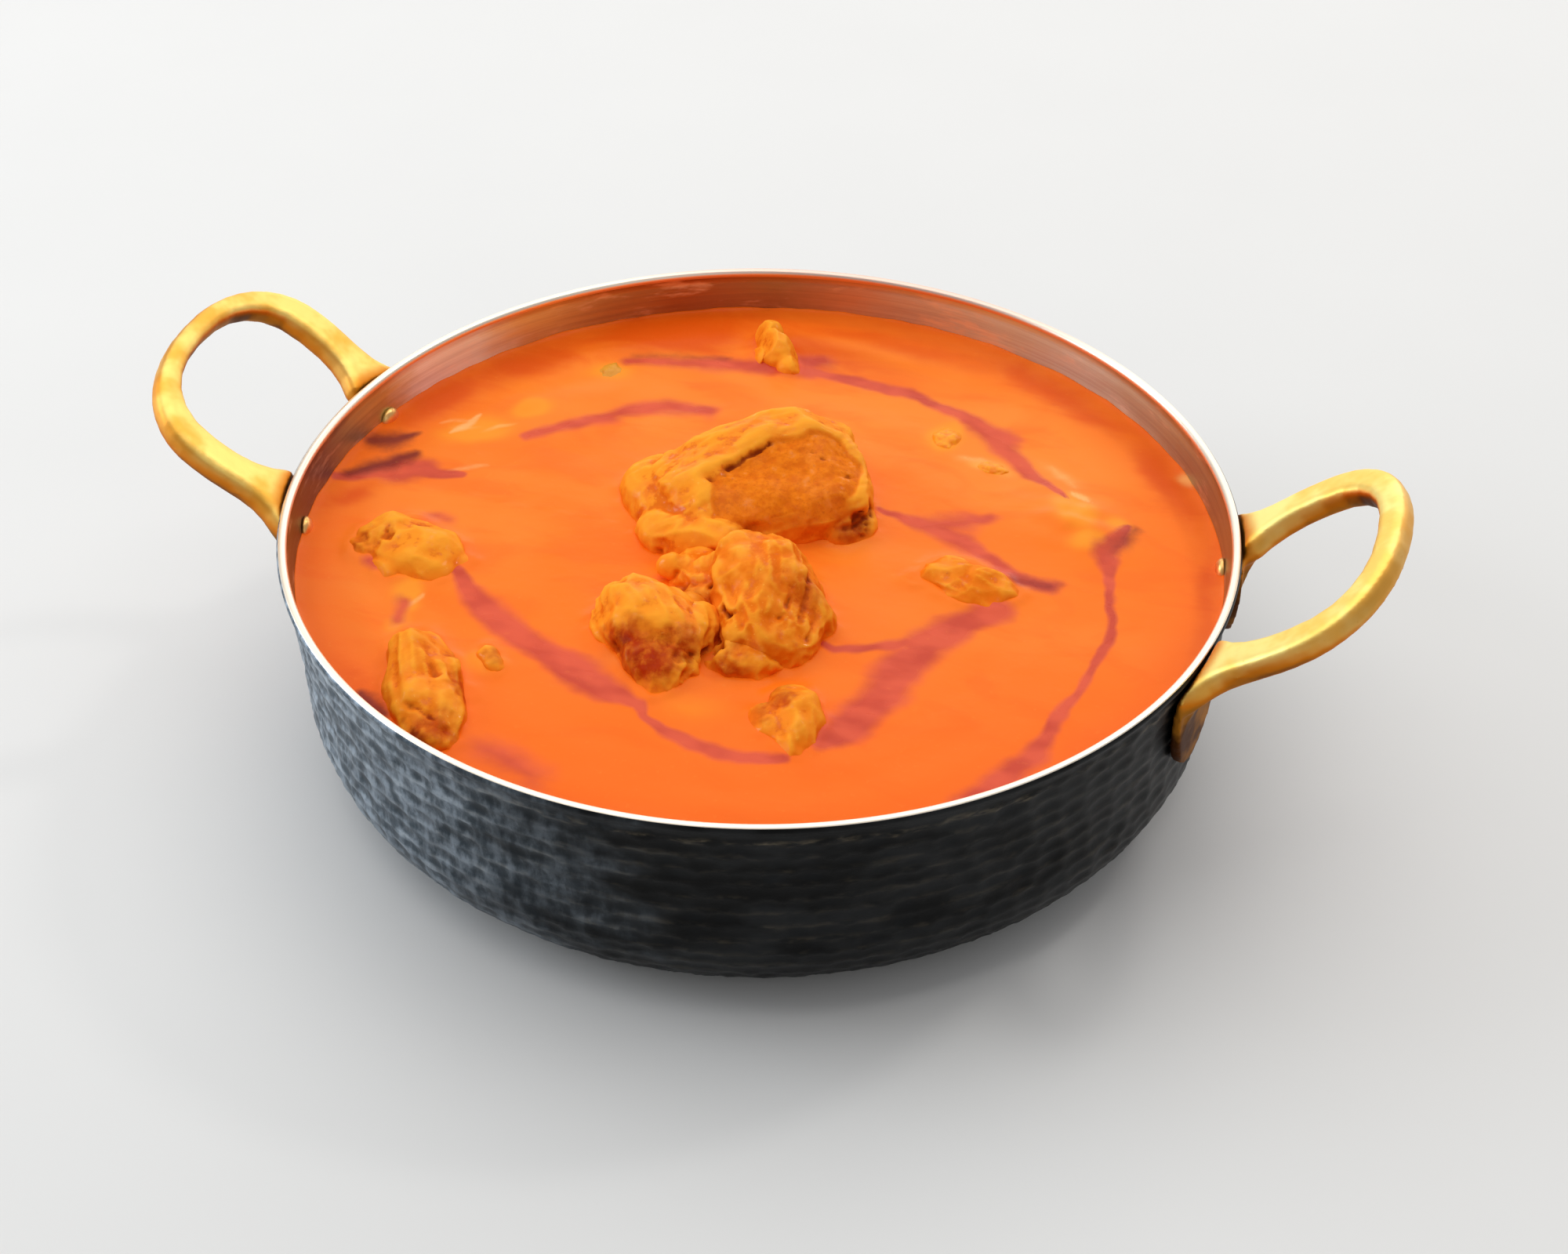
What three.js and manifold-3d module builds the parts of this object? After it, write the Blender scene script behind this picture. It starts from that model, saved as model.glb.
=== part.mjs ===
// Rogan josh in a hammered steel serving pan with two cast brass handles.
// Millimetres, +Z up. The origin is the middle of the pan's flat base.
import * as THREE from "three";
import { mergeVertices } from "three/addons/utils/BufferGeometryUtils.js";
import Module from "manifold-3d";

const wasm = await Module();
wasm.setup();

// ---- Driving dimensions --------------------------------------------------

const gap = 0.3; // clearance between neighbouring pieces

const pan = {
  rimRadius: 82.5, // outside of the lip
  height: 44,
  baseRadius: 62, // flat part of the base
  cornerRadius: 18, // round turn from base to side
  flare: 1.7, // how far the side leans out below the lip
  wall: 1.1,
  lip: 1.7, // width of the thickened lip
  segments: 56,
};

const curry = { depthBelowRim: 8.3 };

// The loop is flat, its outline wide at the tip and drawn in towards the pan
const handle = {
  widest: 15.3, // distance from the root to the widest place
  halfWidth: 25.1,
  squareness: 2.25, // of the outline past the widest place
  waist: 0.015, // how fast the arms draw in towards the root
  flare: 10.5, // how far they spread again inside the palms
  flareLength: 2.5,
  rootRadius: 80, // distance of the root from the pan's axis
  tipRadius: 106.6,
  thickness: 4.7,
  edge: 1.5, // rounding of the bar's edges
  hole: { centre: 15.4, outwards: 12.9, inwards: 17, halfWidth: 18.2, squareness: 2.4, mouth: 12 },
};

// The two handles are fitted by hand, so they don't rise or point quite alike. Angles in degrees.
const handles = [
  { name: "handle_right", facing: 0, turn: 0.7, tilt: 37.6, rootBelowRim: 0.4 },
  { name: "handle_left", facing: 180, turn: -0.2, tilt: 34.8, rootBelowRim: 1 },
];

const palm = {
  angle: 13.4, // degrees either side of the handle's middle
  topBelowRim: 1.4,
  drop: 19,
  halfWidth: 7.6,
  squareness: 2.2,
  thickness: 2.8, // proud of the side
  fillet: 8, // under the bar
  shoulder: 5, // how far the tongue's straight sides run up into the bar
};

const rivet = {
  belowRim: 8.7,
  shankRadius: 1.1,
  shankLength: 2.6, // ends inside the palm
  headRadius: 1.8,
  headHeight: 1.1,
};

// Pieces of lamb. size is length, width and height, at is the middle of the piece at the curry's
// surface, and rise is how far its top stands above that surface.
const lamb = [
  {
    name: "lamb_large",
    detail: 3,
    lumps: [
      { size: [40, 31, 23], at: [-4, 14], rise: 11, turn: 35, pitch: -6, roll: 9, squareness: 4.6 },
      { size: [24, 15, 16], at: [-20.3, 8], rise: 5.8, turn: -52, roll: -12, squareness: 3, seed: 2 },
    ],
  },
  {
    name: "lamb_middle",
    detail: 2,
    lumps: [
      { size: [33, 21, 20], at: [7, -16.5], rise: 9.5, turn: -68, pitch: 10, squareness: 3, seed: 3 },
      { size: [17, 12, 12], at: [-5, -13.5], rise: 4.6, turn: -50, pitch: 0, squareness: 2.6, seed: 11 },
    ],
  },
  {
    name: "lamb_front",
    detail: 2,
    lumps: [
      { size: [24, 15.5, 16], at: [-9.6, -29], rise: 7.2, turn: -46, pitch: 4, squareness: 3, seed: 4 },
    ],
  },
  {
    name: "lamb_left",
    detail: 2,
    lumps: [
      { size: [24, 16, 12], at: [-57.6, -18.5], rise: 3.4, turn: -26, pitch: 2, squareness: 2.8, seed: 5 },
    ],
  },
  {
    name: "lamb_near_rim",
    detail: 2,
    lumps: [
      { size: [33, 13, 17], at: [-40, -54], rise: 5, turn: -62, pitch: 3, squareness: 2.9, seed: 6 },
    ],
  },
  {
    name: "lamb_sliver",
    detail: 1,
    lumps: [{ size: [9, 4, 5], at: [-33, -43.2], rise: 1.6, turn: -48, squareness: 2.4, seed: 7 }],
  },
  {
    name: "lamb_right",
    detail: 2,
    lumps: [
      { size: [21, 13, 11], at: [37.4, 0.8], rise: 3.2, turn: -18, pitch: 3, squareness: 2.8, seed: 8 },
    ],
  },
  {
    name: "lamb_bottom",
    detail: 2,
    lumps: [
      { size: [18, 10, 10], at: [19.3, -42.8], rise: 3, turn: -66, pitch: 2, squareness: 2.7, seed: 9 },
    ],
  },
  {
    name: "lamb_back",
    detail: 1,
    lumps: [
      { size: [15, 7, 15], at: [-16.5, 61], rise: 6, turn: -35, pitch: 18, squareness: 2, seed: 10 },
    ],
  },
];

// Pieces that lie just under the surface and lift the sauce over them
const mounds = [
  { size: [22, 16, 7], at: [51, 24], rise: 1.8, turn: -40, squareness: 2 },
  { size: [12, 8, 5], at: [-57, 31], rise: 1, turn: 20, squareness: 2 },
];

// ---- Derived sizes -------------------------------------------------------

const wallRadius = pan.baseRadius + pan.cornerRadius;
const surface = pan.height - curry.depthBelowRim;

// ---- Materials -----------------------------------------------------------

const material = (color, roughness, metalness) =>
  new THREE.MeshStandardMaterial({ color, roughness, metalness });

const darkSteel = material(0x2f3439, 0.42, 0.9);
const brass = material(0xd9a441, 0.32, 1);
const sauce = material(0xf97f32, 0.25, 0);
const meat = material(0xc96a1e, 0.5, 0);

// ---- Helpers -------------------------------------------------------------

// The mesh's geometry, where the mesh stands, as a manifold-3d solid
function solidOf(mesh) {
  mesh.updateMatrixWorld(true);
  const shape = mesh.geometry.clone();
  for (const name of Object.keys(shape.attributes)) {
    if (name !== "position") shape.deleteAttribute(name);
  }
  const merged = mergeVertices(shape.applyMatrix4(mesh.matrixWorld), 1e-3);
  return new wasm.Manifold(
    new wasm.Mesh({
      numProp: 3,
      vertProperties: new Float32Array(merged.attributes.position.array),
      triVerts: new Uint32Array(merged.index.array),
    }),
  );
}

const makeRoom = (body, rooms) => rooms.reduce((left, room) => left.subtract(room), body);

function meshOf(name, solid, finish) {
  const { numProp, vertProperties, triVerts } = solid.getMesh();
  const points = new Float32Array((vertProperties.length / numProp) * 3);
  for (let i = 0; i < points.length / 3; i++) {
    points.set(vertProperties.subarray(i * numProp, i * numProp + 3), i * 3);
  }
  const geometry = new THREE.BufferGeometry();
  geometry.setAttribute("position", new THREE.BufferAttribute(points, 3));
  geometry.setIndex(new THREE.BufferAttribute(new Uint32Array(triVerts), 1));
  geometry.computeVertexNormals();
  const mesh = new THREE.Mesh(geometry, finish);
  mesh.name = name;
  return mesh;
}

// A profile of [radius, height] points turned round the Z axis
function turned(profile, segments) {
  const points = profile.map(([radius, height]) => new THREE.Vector2(radius, height));
  const geometry = new THREE.LatheGeometry(points, segments);
  return new THREE.Mesh(geometry.rotateX(Math.PI / 2));
}

// Points of a quarter arc about a centre, from one angle to another, in degrees
function arc(centreX, centreY, radius, from, to, steps) {
  return Array.from({ length: steps + 1 }, (_, i) => {
    const angle = THREE.MathUtils.degToRad(from + ((to - from) * i) / steps);
    return [centreX + radius * Math.cos(angle), centreY + radius * Math.sin(angle)];
  });
}

// Half an oval with squared-off shoulders, from its -Y side round the end at length to its +Y side
function halfOval(centre, length, halfWidth, squareness, steps) {
  return Array.from({ length: steps + 1 }, (_, i) => {
    const angle = (i / steps - 0.5) * Math.PI;
    const [x, y] = [Math.abs(Math.cos(angle)), Math.sin(angle)];
    return new THREE.Vector2(
      centre + length * x ** (2 / squareness),
      halfWidth * Math.sign(y) * Math.abs(y) ** (2 / squareness),
    );
  });
}

// ---- Pan -----------------------------------------------------------------

const cornerSteps = 4;

// Outside of the pan from the base's edge to just under the lip, pushed out by grow
function outsideProfile(grow, steps) {
  const corner = arc(pan.baseRadius, pan.cornerRadius, pan.cornerRadius + grow, -90, 0, steps);
  const bend = [
    [wallRadius + grow + 0.35 * pan.flare, pan.height - 14],
    [wallRadius + grow + pan.flare, pan.height - 3.5],
  ];
  return [...corner, ...bend];
}

function panBody() {
  const outside = outsideProfile(0, cornerSteps);
  const inside = outsideProfile(-pan.wall, cornerSteps).reverse();
  const lipRadius = pan.lip / 2;
  const lip = arc(pan.rimRadius - lipRadius, pan.height - lipRadius, lipRadius, -20, 200, 4);
  const profile = [[0, 0], ...outside, ...lip, ...inside, [0, pan.wall]];
  return solidOf(turned(profile, pan.segments));
}

// ---- Handles -------------------------------------------------------------

// The flat loop's outline with its hole, root at the origin and tip along +X
function loopOutline(reach) {
  const { widest, halfWidth, squareness, waist, hole } = handle;
  const spread = (x) => handle.flare / (1 + 2 * Math.exp(x / handle.flareLength));
  const tip = halfOval(widest, reach - widest, halfWidth, squareness, 20);
  const rootSteps = 10;
  const root = Array.from({ length: rootSteps }, (_, i) => {
    const x = widest - ((widest + 9) * (i + 1)) / rootSteps;
    return new THREE.Vector2(x, halfWidth - waist * (widest - x) ** 2 + spread(x));
  });
  const mirrored = (points) => points.map(({ x, y }) => new THREE.Vector2(x, -y)).reverse();
  const outline = new THREE.Shape([...mirrored(root), ...tip, ...root]);
  const outer = halfOval(hole.centre, hole.outwards, hole.halfWidth, hole.squareness, 12);
  const arm = halfOval(hole.centre, -hole.inwards, hole.halfWidth, hole.squareness, 16)
    .filter(({ y }) => y > hole.mouth)
    .slice(0, -1)
    .reverse();
  arm.push(new THREE.Vector2(-4.5, hole.mouth));
  outline.holes.push(new THREE.Path([...outer, ...arm, ...mirrored(arm)]));
  return outline;
}

// The bar is the outline with rounded edges, its top face at z = 0
function loopBar(reach) {
  const { thickness, edge } = handle;
  const bar = new THREE.ExtrudeGeometry(loopOutline(reach), {
    depth: thickness - 2 * edge,
    bevelThickness: edge,
    bevelSize: edge,
    bevelOffset: -edge,
    bevelSegments: 2,
  });
  return new THREE.Mesh(bar.translate(0, 0, edge - thickness));
}

// A tongue's profile along the side, with a fillet up to the bar, as a block along +X
function filletBlock(underside) {
  const { halfWidth, drop, thickness, fillet } = palm;
  const face = wallRadius + thickness;
  const back = wallRadius - 2;
  const tip = pan.height - palm.topBelowRim - drop;
  const side = new THREE.Shape();
  side.moveTo(back, tip - 1);
  side.lineTo(face - 0.5, tip - 1);
  side.lineTo(face, underside(face) - fillet);
  side.quadraticCurveTo(face, underside(face), face + fillet, underside(face + fillet) + 0.5);
  side.lineTo(back, underside(back) + 1);
  const block = new THREE.ExtrudeGeometry(side, {
    depth: 2 * halfWidth,
    curveSegments: 5,
    bevelEnabled: false,
  });
  return solidOf(new THREE.Mesh(block.rotateX(Math.PI / 2).translate(0, halfWidth, 0)));
}

// The tongue's round-ended outline as a block along +X
function tongueBlock(from, to) {
  const { halfWidth, drop, squareness, shoulder } = palm;
  const outline = new THREE.Shape([
    new THREE.Vector2(-shoulder, -halfWidth),
    ...halfOval(0, drop, halfWidth, squareness, 14),
    new THREE.Vector2(-shoulder, halfWidth),
  ]);
  const block = new THREE.ExtrudeGeometry(outline, { depth: to - from, bevelEnabled: false });
  block.rotateY(Math.PI / 2).translate(from, 0, pan.height - palm.topBelowRim);
  return solidOf(new THREE.Mesh(block));
}

// Everything straight under the loop's outline
function underLoop(reach, tilt) {
  const shadow = new THREE.ExtrudeGeometry(loopOutline(reach), { depth: pan.height, bevelEnabled: false });
  shadow.scale(Math.cos(tilt), 1, 1);
  return new THREE.Mesh(shadow);
}

function handleBody({ turn, tilt: tiltDegrees, rootBelowRim }) {
  const [tilt, turnAngle] = [tiltDegrees, turn].map(THREE.MathUtils.degToRad);
  const { rootRadius, tipRadius, thickness } = handle;
  const reach = (tipRadius - rootRadius) / Math.cos(tilt);
  const holder = new THREE.Group();
  const bar = loopBar(reach);
  bar.position.set(rootRadius, 0, pan.height - rootBelowRim);
  bar.rotation.y = -tilt;
  const shadow = underLoop(reach, tilt);
  shadow.position.set(rootRadius, 0, 0.3 * pan.height);
  holder.add(bar, shadow);
  holder.rotation.z = turnAngle;
  holder.updateMatrixWorld(true);

  const underside = (radius) =>
    pan.height - rootBelowRim + (radius - rootRadius) * Math.tan(tilt) - thickness / Math.cos(tilt);
  const [from, plate, to] = [wallRadius - 2, wallRadius + palm.thickness, wallRadius + 2 * palm.fillet];
  let body = solidOf(bar);
  for (const side of [-palm.angle, palm.angle]) {
    const block = filletBlock(underside).rotate([0, 0, side]);
    const flat = tongueBlock(from, plate).rotate([0, 0, side]);
    const deep = tongueBlock(from, to).rotate([0, 0, side]).intersect(solidOf(shadow));
    body = body.add(block.intersect(flat.add(deep)));
  }
  const above = pan.height + 1;
  const aroundLip = [
    [pan.rimRadius + gap, pan.height - pan.lip],
    [pan.rimRadius + gap, above],
  ];
  const cutter = [[0, -gap], ...outsideProfile(gap, cornerSteps), ...aroundLip, [0, above]];
  return body.subtract(solidOf(turned(cutter, pan.segments)));
}

// ---- Rivets --------------------------------------------------------------

// A domed head inside the pan and a shank that ends inside the palm, along +X
function rivetBody(grow = 0) {
  const { headRadius, headHeight, shankRadius, shankLength } = rivet;
  const dome = arc(0, 0, 1, 180, 90, 2);
  const head = dome.map(([x, y]) => [y * (headRadius + grow), x * (headHeight + grow)]);
  const end = shankLength + grow;
  const profile = [...head, [shankRadius + grow, 0], [shankRadius + grow, end], [0, end]];
  const body = turned(profile, 10);
  body.geometry.rotateY(Math.PI / 2);
  return body;
}

const rivetAngles = handles.flatMap(({ facing }) => [facing - palm.angle, facing + palm.angle]);

function placedRivet(angle, grow) {
  const body = rivetBody(grow);
  const innerWall = wallRadius + 0.55 * pan.flare - pan.wall;
  body.geometry.translate(innerWall - gap, 0, pan.height - rivet.belowRim);
  body.rotation.z = THREE.MathUtils.degToRad(angle);
  return solidOf(body);
}

// ---- Food ----------------------------------------------------------------

// A rough block: a squared-off ball with slow waves over its sides, pushed out by grow
function lumpBody(lump, detail, grow = 0) {
  const { size, at, rise, turn = 0, pitch = 0, roll = 0, squareness, seed = 0 } = lump;
  const shape = new THREE.IcosahedronGeometry(1, detail);
  const points = shape.attributes.position;
  const half = size.map((length) => length / 2 + grow);
  const p = new THREE.Vector3();
  for (let i = 0; i < points.count; i++) {
    p.fromBufferAttribute(points, i).normalize();
    const sum = [p.x, p.y, p.z].reduce((total, v) => total + Math.abs(v) ** squareness, 0);
    const swell = Math.sin(3.1 * p.x + 2.3 * seed) * Math.cos(2.7 * p.y + seed);
    const dent = Math.sin(6.3 * p.y + 2.1 * p.z + 1.7 * seed) * Math.cos(5.1 * p.x - seed);
    const reach = (1 - 0.045 * (1 + swell) - 0.025 * (1 + dent)) / sum ** (1 / squareness);
    points.setXYZ(i, p.x * half[0] * reach, p.y * half[1] * reach, p.z * half[2] * reach);
  }
  const mesh = new THREE.Mesh(shape);
  const [rollAngle, pitchAngle, turnAngle] = [roll, pitch, turn].map(THREE.MathUtils.degToRad);
  mesh.rotation.set(rollAngle, pitchAngle, turnAngle, "ZYX");
  mesh.position.set(at[0], at[1], surface + rise - size[2] / 2);
  return solidOf(mesh);
}

const joined = (lumps, detail, grow = 0) =>
  lumps.map((lump) => lumpBody(lump, detail, grow)).reduce((all, lump) => all.add(lump));

// Each piece of lamb makes room for those before it
function lambBodies() {
  const rooms = [];
  return lamb.map(({ name, lumps, detail }) => {
    const body = makeRoom(joined(lumps, detail), rooms);
    const room = joined(lumps, detail, gap);
    rooms.push(room);
    return { name, body, room };
  });
}

function curryBody(rooms) {
  const inside = outsideProfile(-pan.wall - gap, cornerSteps).slice(0, -2);
  const brim = [wallRadius - pan.wall - gap + 0.5 * pan.flare, surface];
  const profile = [[0, pan.wall + gap], ...inside, brim, [0, surface]];
  const mound = mounds.map((lump) => lumpBody(lump, 2));
  const body = mound.reduce((all, lump) => all.add(lump), solidOf(turned(profile, pan.segments)));
  return makeRoom(body, rooms);
}

// ---- Assembly ------------------------------------------------------------

const part = new THREE.Group();
const rivetRooms = rivetAngles.map((angle) => placedRivet(angle, gap));
const pieces = lambBodies();

part.add(meshOf("pan", makeRoom(panBody(), rivetRooms), darkSteel));

handles.forEach((shape, i) => {
  const turnBack = [0, 0, -shape.facing];
  const rooms = rivetRooms.slice(2 * i, 2 * i + 2).map((room) => room.rotate(turnBack));
  const mesh = meshOf(shape.name, makeRoom(handleBody(shape), rooms), brass);
  mesh.rotation.z = THREE.MathUtils.degToRad(shape.facing);
  part.add(mesh);
});

rivetAngles.forEach((angle, i) => {
  part.add(meshOf(`rivet_${i + 1}`, placedRivet(angle, 0), brass));
});

part.add(meshOf("curry", curryBody([...pieces.map(({ room }) => room), ...rivetRooms]), sauce));
for (const { name, body } of pieces) part.add(meshOf(name, body, meat));

export default part;
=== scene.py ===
import math
import random
import bmesh
import bpy
import numpy as np
from mathutils import Matrix, Vector, kdtree, noise


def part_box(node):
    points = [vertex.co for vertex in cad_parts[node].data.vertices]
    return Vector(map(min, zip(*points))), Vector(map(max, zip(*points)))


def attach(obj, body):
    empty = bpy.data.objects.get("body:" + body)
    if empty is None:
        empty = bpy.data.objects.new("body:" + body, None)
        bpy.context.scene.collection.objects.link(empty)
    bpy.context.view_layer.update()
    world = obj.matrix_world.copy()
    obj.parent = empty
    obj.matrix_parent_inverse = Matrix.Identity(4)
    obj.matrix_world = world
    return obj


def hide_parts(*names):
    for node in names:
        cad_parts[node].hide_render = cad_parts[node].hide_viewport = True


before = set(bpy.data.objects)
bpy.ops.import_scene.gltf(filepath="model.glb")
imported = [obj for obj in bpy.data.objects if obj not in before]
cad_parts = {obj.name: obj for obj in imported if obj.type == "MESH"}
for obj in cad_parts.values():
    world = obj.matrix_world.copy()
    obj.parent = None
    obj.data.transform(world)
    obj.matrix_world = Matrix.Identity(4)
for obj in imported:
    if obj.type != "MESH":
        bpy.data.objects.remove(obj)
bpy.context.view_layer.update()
mm = 0.001
random.seed(7)
print("frame loaded")

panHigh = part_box("pan")[1]
sliverRise = 1.6  # how far the flake of lamb stands out of the curry, in millimetres
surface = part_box("lamb_sliver")[1].z / mm - sliverRise  # the curry's level
rimHeight = panHigh.z / mm
rimRadius = panHigh.y / mm


def addObject(name, data):
    made = bpy.data.objects.new(name, data)
    bpy.context.scene.collection.objects.link(made)
    return made


# ---- camera, lights, floor

cameraView = {
    "lens": 63.0,
    "azimuth": 16.694,
    "elevation": 37.606,
    "roll": 0.608,
    "fromRim": (4.289, -20.25, 472.33),  # right, up and back from the middle of the rim
}


def placeCamera():
    azimuth, elevation, roll = (math.radians(cameraView[k]) for k in ("azimuth", "elevation", "roll"))
    level = math.cos(elevation)
    back = Vector((math.sin(azimuth) * level, -math.cos(azimuth) * level, math.sin(elevation)))
    right = Vector((math.cos(azimuth), math.sin(azimuth), 0))
    up = back.cross(right)
    sideways, upwards, away = cameraView["fromRim"]
    place = Vector((0, 0, rimHeight)) + right * sideways + up * upwards + back * away
    turnedRight = right * math.cos(roll) + up * math.sin(roll)
    turnedUp = up * math.cos(roll) - right * math.sin(roll)
    lens = bpy.data.cameras.new("camera")
    lens.lens = cameraView["lens"]
    lens.clip_start = 0.01
    camera = addObject("camera", lens)
    turn = Matrix((turnedRight, turnedUp, back)).transposed().to_4x4()
    camera.matrix_world = Matrix.Translation(place * mm) @ turn
    bpy.context.scene.camera = camera


lampTarget = 0.03  # height that every lamp aims at, in metres
lamps = {  # place, size, power and colour
    "overhead": ((-0.2, 0.25, 1.0), (1.5, 1.4), 8.5, (1.0, 0.99, 0.97)),
    "backCard": ((0.0, 1.3, 0.38), (2.6, 0.62), 6.5, (1.0, 0.98, 0.95)),
    "leftWindow": ((-0.9, -0.15, 0.35), (0.5, 0.5), 3.4, (0.86, 0.93, 1.0)),
    "glint": ((0.5, 0.6, 0.8), (0.12, 0.12), 1.1, (1.0, 0.98, 0.95)),
    "frontFill": ((0.55, -0.8, 0.6), (0.7, 0.7), 0.5, (1.0, 0.97, 0.93)),
}


def addLamps():
    for name, (place, size, power, colour) in lamps.items():
        light = bpy.data.lights.new(name, "AREA")
        light.shape = "RECTANGLE"
        light.size, light.size_y = size
        light.energy = power
        light.color = colour
        holder = addObject(name, light)
        holder.location = Vector(place)
        aim = Vector((0, 0, lampTarget)) - holder.location
        holder.rotation_euler = aim.to_track_quat("-Z", "Y").to_euler()
    world = bpy.data.worlds.new("studio")
    bpy.context.scene.world = world
    world.use_nodes = True
    background = world.node_tree.nodes["Background"]
    background.inputs["Color"].default_value = (0.95, 0.97, 1.0, 1)
    background.inputs["Strength"].default_value = 0.42


# ---- shader maths


def tone(red, green, blue):  # a display colour, 0 to 255, in the linear values that shaders use
    parts = [part / 255 for part in (red, green, blue)]
    return tuple(p / 12.92 if p <= 0.04045 else ((p + 0.055) / 1.055) ** 2.4 for p in parts) + (1.0,)


class Wire:  # a socket that takes part in sums
    def __init__(self, finish, socket):
        self.finish = finish
        self.socket = socket

    def sum(self, operation, first, second):
        return self.finish.node("ShaderNodeMath", {"operation": operation}, {0: first, 1: second})

    def fade(self, low, high, atLow=0.0, atHigh=1.0):  # smooth change between two levels
        levels = {"Value": self, "From Min": low, "From Max": high, "To Min": atLow, "To Max": atHigh}
        return self.finish.node("ShaderNodeMapRange", {"interpolation_type": "SMOOTHSTEP"}, levels)

    def mix(self, first, second):  # first where this is 0, second where it is 1
        sockets = {0: self, 6: first, 7: second}
        return self.finish.node("ShaderNodeMix", {"data_type": "RGBA"}, sockets, take=2)

    def wash(self, body, low, high, strength, colour):  # lays a colour over body where this is high
        return (self.fade(low, high) * strength).mix(body, tone(*colour))


signs = {"add": "ADD", "sub": "SUBTRACT", "mul": "MULTIPLY", "truediv": "DIVIDE", "pow": "POWER"}
for sign, operation in signs.items():
    setattr(Wire, f"__{sign}__", lambda self, other, kind=operation: self.sum(kind, self, other))
    setattr(Wire, f"__r{sign}__", lambda self, other, kind=operation: self.sum(kind, other, self))


class Finish:  # one material with a Principled shader
    def __init__(self, name, **constants):
        self.material = bpy.data.materials.new(name)
        self.material.use_nodes = True
        self.tree = self.material.node_tree
        self.tree.nodes.clear()
        self.shader = self.tree.nodes.new("ShaderNodeBsdfPrincipled")
        output = self.tree.nodes.new("ShaderNodeOutputMaterial")
        self.tree.links.new(self.shader.outputs["BSDF"], output.inputs["Surface"])
        for socket, value in constants.items():
            self.shader.inputs[socket.replace("_", " ")].default_value = value

    def node(self, kind, settings=None, sockets=None, take=0):
        made = self.tree.nodes.new(kind)
        for key, value in (settings or {}).items():
            if key == "stops":
                self.fillRamp(made.color_ramp, value)
            else:
                setattr(made, key, value)
        for key, value in (sockets or {}).items():
            self.feed(made.inputs[key], value)
        return Wire(self, made.outputs[take])

    def fillRamp(self, ramp, stops):
        ramp.elements[0].position, ramp.elements[0].color = stops[0]
        ramp.elements[-1].position, ramp.elements[-1].color = stops[-1]
        for place, colour in stops[1:-1]:
            ramp.elements.new(place).color = colour

    def feed(self, socket, value):
        if isinstance(value, Wire):
            self.tree.links.new(value.socket, socket)
        else:
            socket.default_value = value

    def set(self, name, value):
        self.feed(self.shader.inputs[name], value)

    def place(self):
        return self.node("ShaderNodeTexCoord", take="Object")

    def axis(self, letter):  # a coordinate in millimetres
        return self.node("ShaderNodeSeparateXYZ", None, {0: self.place()}, take=letter) * 1000.0

    def bearing(self):  # way round the middle, 0 to 1 from the front and 0.5 at the back
        sockets = {0: self.axis("X") * -1, 1: self.axis("Y")}
        return self.node("ShaderNodeMath", {"operation": "ARCTAN2"}, sockets) / math.tau + 0.5

    # noise of about 0 to 1, with its size in millimetres
    def cloud(self, size, detail, rough, stretch=(1, 1, 1), warp=0.0):
        scale = tuple(1 / (mm * size * s) for s in stretch)
        place = self.node("ShaderNodeMapping", None, {"Vector": self.place(), "Scale": scale})
        levels = {"Vector": place, "Scale": 1.0, "Detail": detail, "Roughness": rough, "Distortion": warp}
        return self.node("ShaderNodeTexNoise", None, levels)

    def mark(self, name):  # a value kept on the mesh's points
        return self.node("ShaderNodeAttribute", {"attribute_name": name}, take="Fac")

    def relief(self, height, depth, strength):  # depth in millimetres
        sockets = {"Height": height, "Distance": depth * mm, "Strength": strength}
        self.set("Normal", self.node("ShaderNodeBump", None, sockets))


# ---- mesh helpers


def readPoints(mesh, what="co"):
    values = np.empty(len(mesh.vertices) * 3)
    mesh.vertices.foreach_get(what, values)
    return values.reshape(-1, 3) / (mm if what == "co" else 1)


def movePoints(mesh, points):  # millimetres
    mesh.vertices.foreach_set("co", (points * mm).ravel())
    mesh.update()


def keepMark(mesh, name, values):
    attribute = mesh.attributes.new(name, "FLOAT", "POINT")
    attribute.data.foreach_set("value", values.astype(np.float32))


def noiseAt(points, size, seed=0.0, octaves=1):
    spots = points / size + np.array((seed, -0.7 * seed, 0.4 * seed))
    if octaves == 1:
        return np.array([noise.noise(spot) for spot in spots])
    return np.array([noise.fractal(spot, 0.7, 2.1, octaves) for spot in spots])


def ease(values, low, high):
    share = np.clip((values - low) / (high - low), 0, 1)
    return share * share * (3 - 2 * share)


def lineDistance(spots, start, end):  # distance to a stretch of line, and how far along it
    along = end - start
    share = np.clip(((spots - start) @ along) / max(along @ along, 1e-9), 0, 1)
    return np.linalg.norm(spots - start - share[:, None] * along, axis=1), share


def insideBy(spots, outline):  # how far inside a closed outline each spot is, below 0 outside
    corners = np.array(outline, float)
    nearest = np.full(len(spots), 1e9)
    crossings = np.zeros(len(spots), bool)
    for start, end in zip(corners, np.roll(corners, -1, axis=0)):
        nearest = np.minimum(nearest, lineDistance(spots, start, end)[0])
        between = (start[1] > spots[:, 1]) != (end[1] > spots[:, 1])
        run, rise = end - start
        side = start[0] + (spots[:, 1] - start[1]) * run / (rise or 1e-9)
        crossings ^= between & (spots[:, 0] < side)
    return np.where(crossings, nearest, -nearest)


def meshOf(name, shape):
    mesh = bpy.data.meshes.new(name)
    shape.to_mesh(mesh)
    shape.free()
    return mesh


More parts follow.
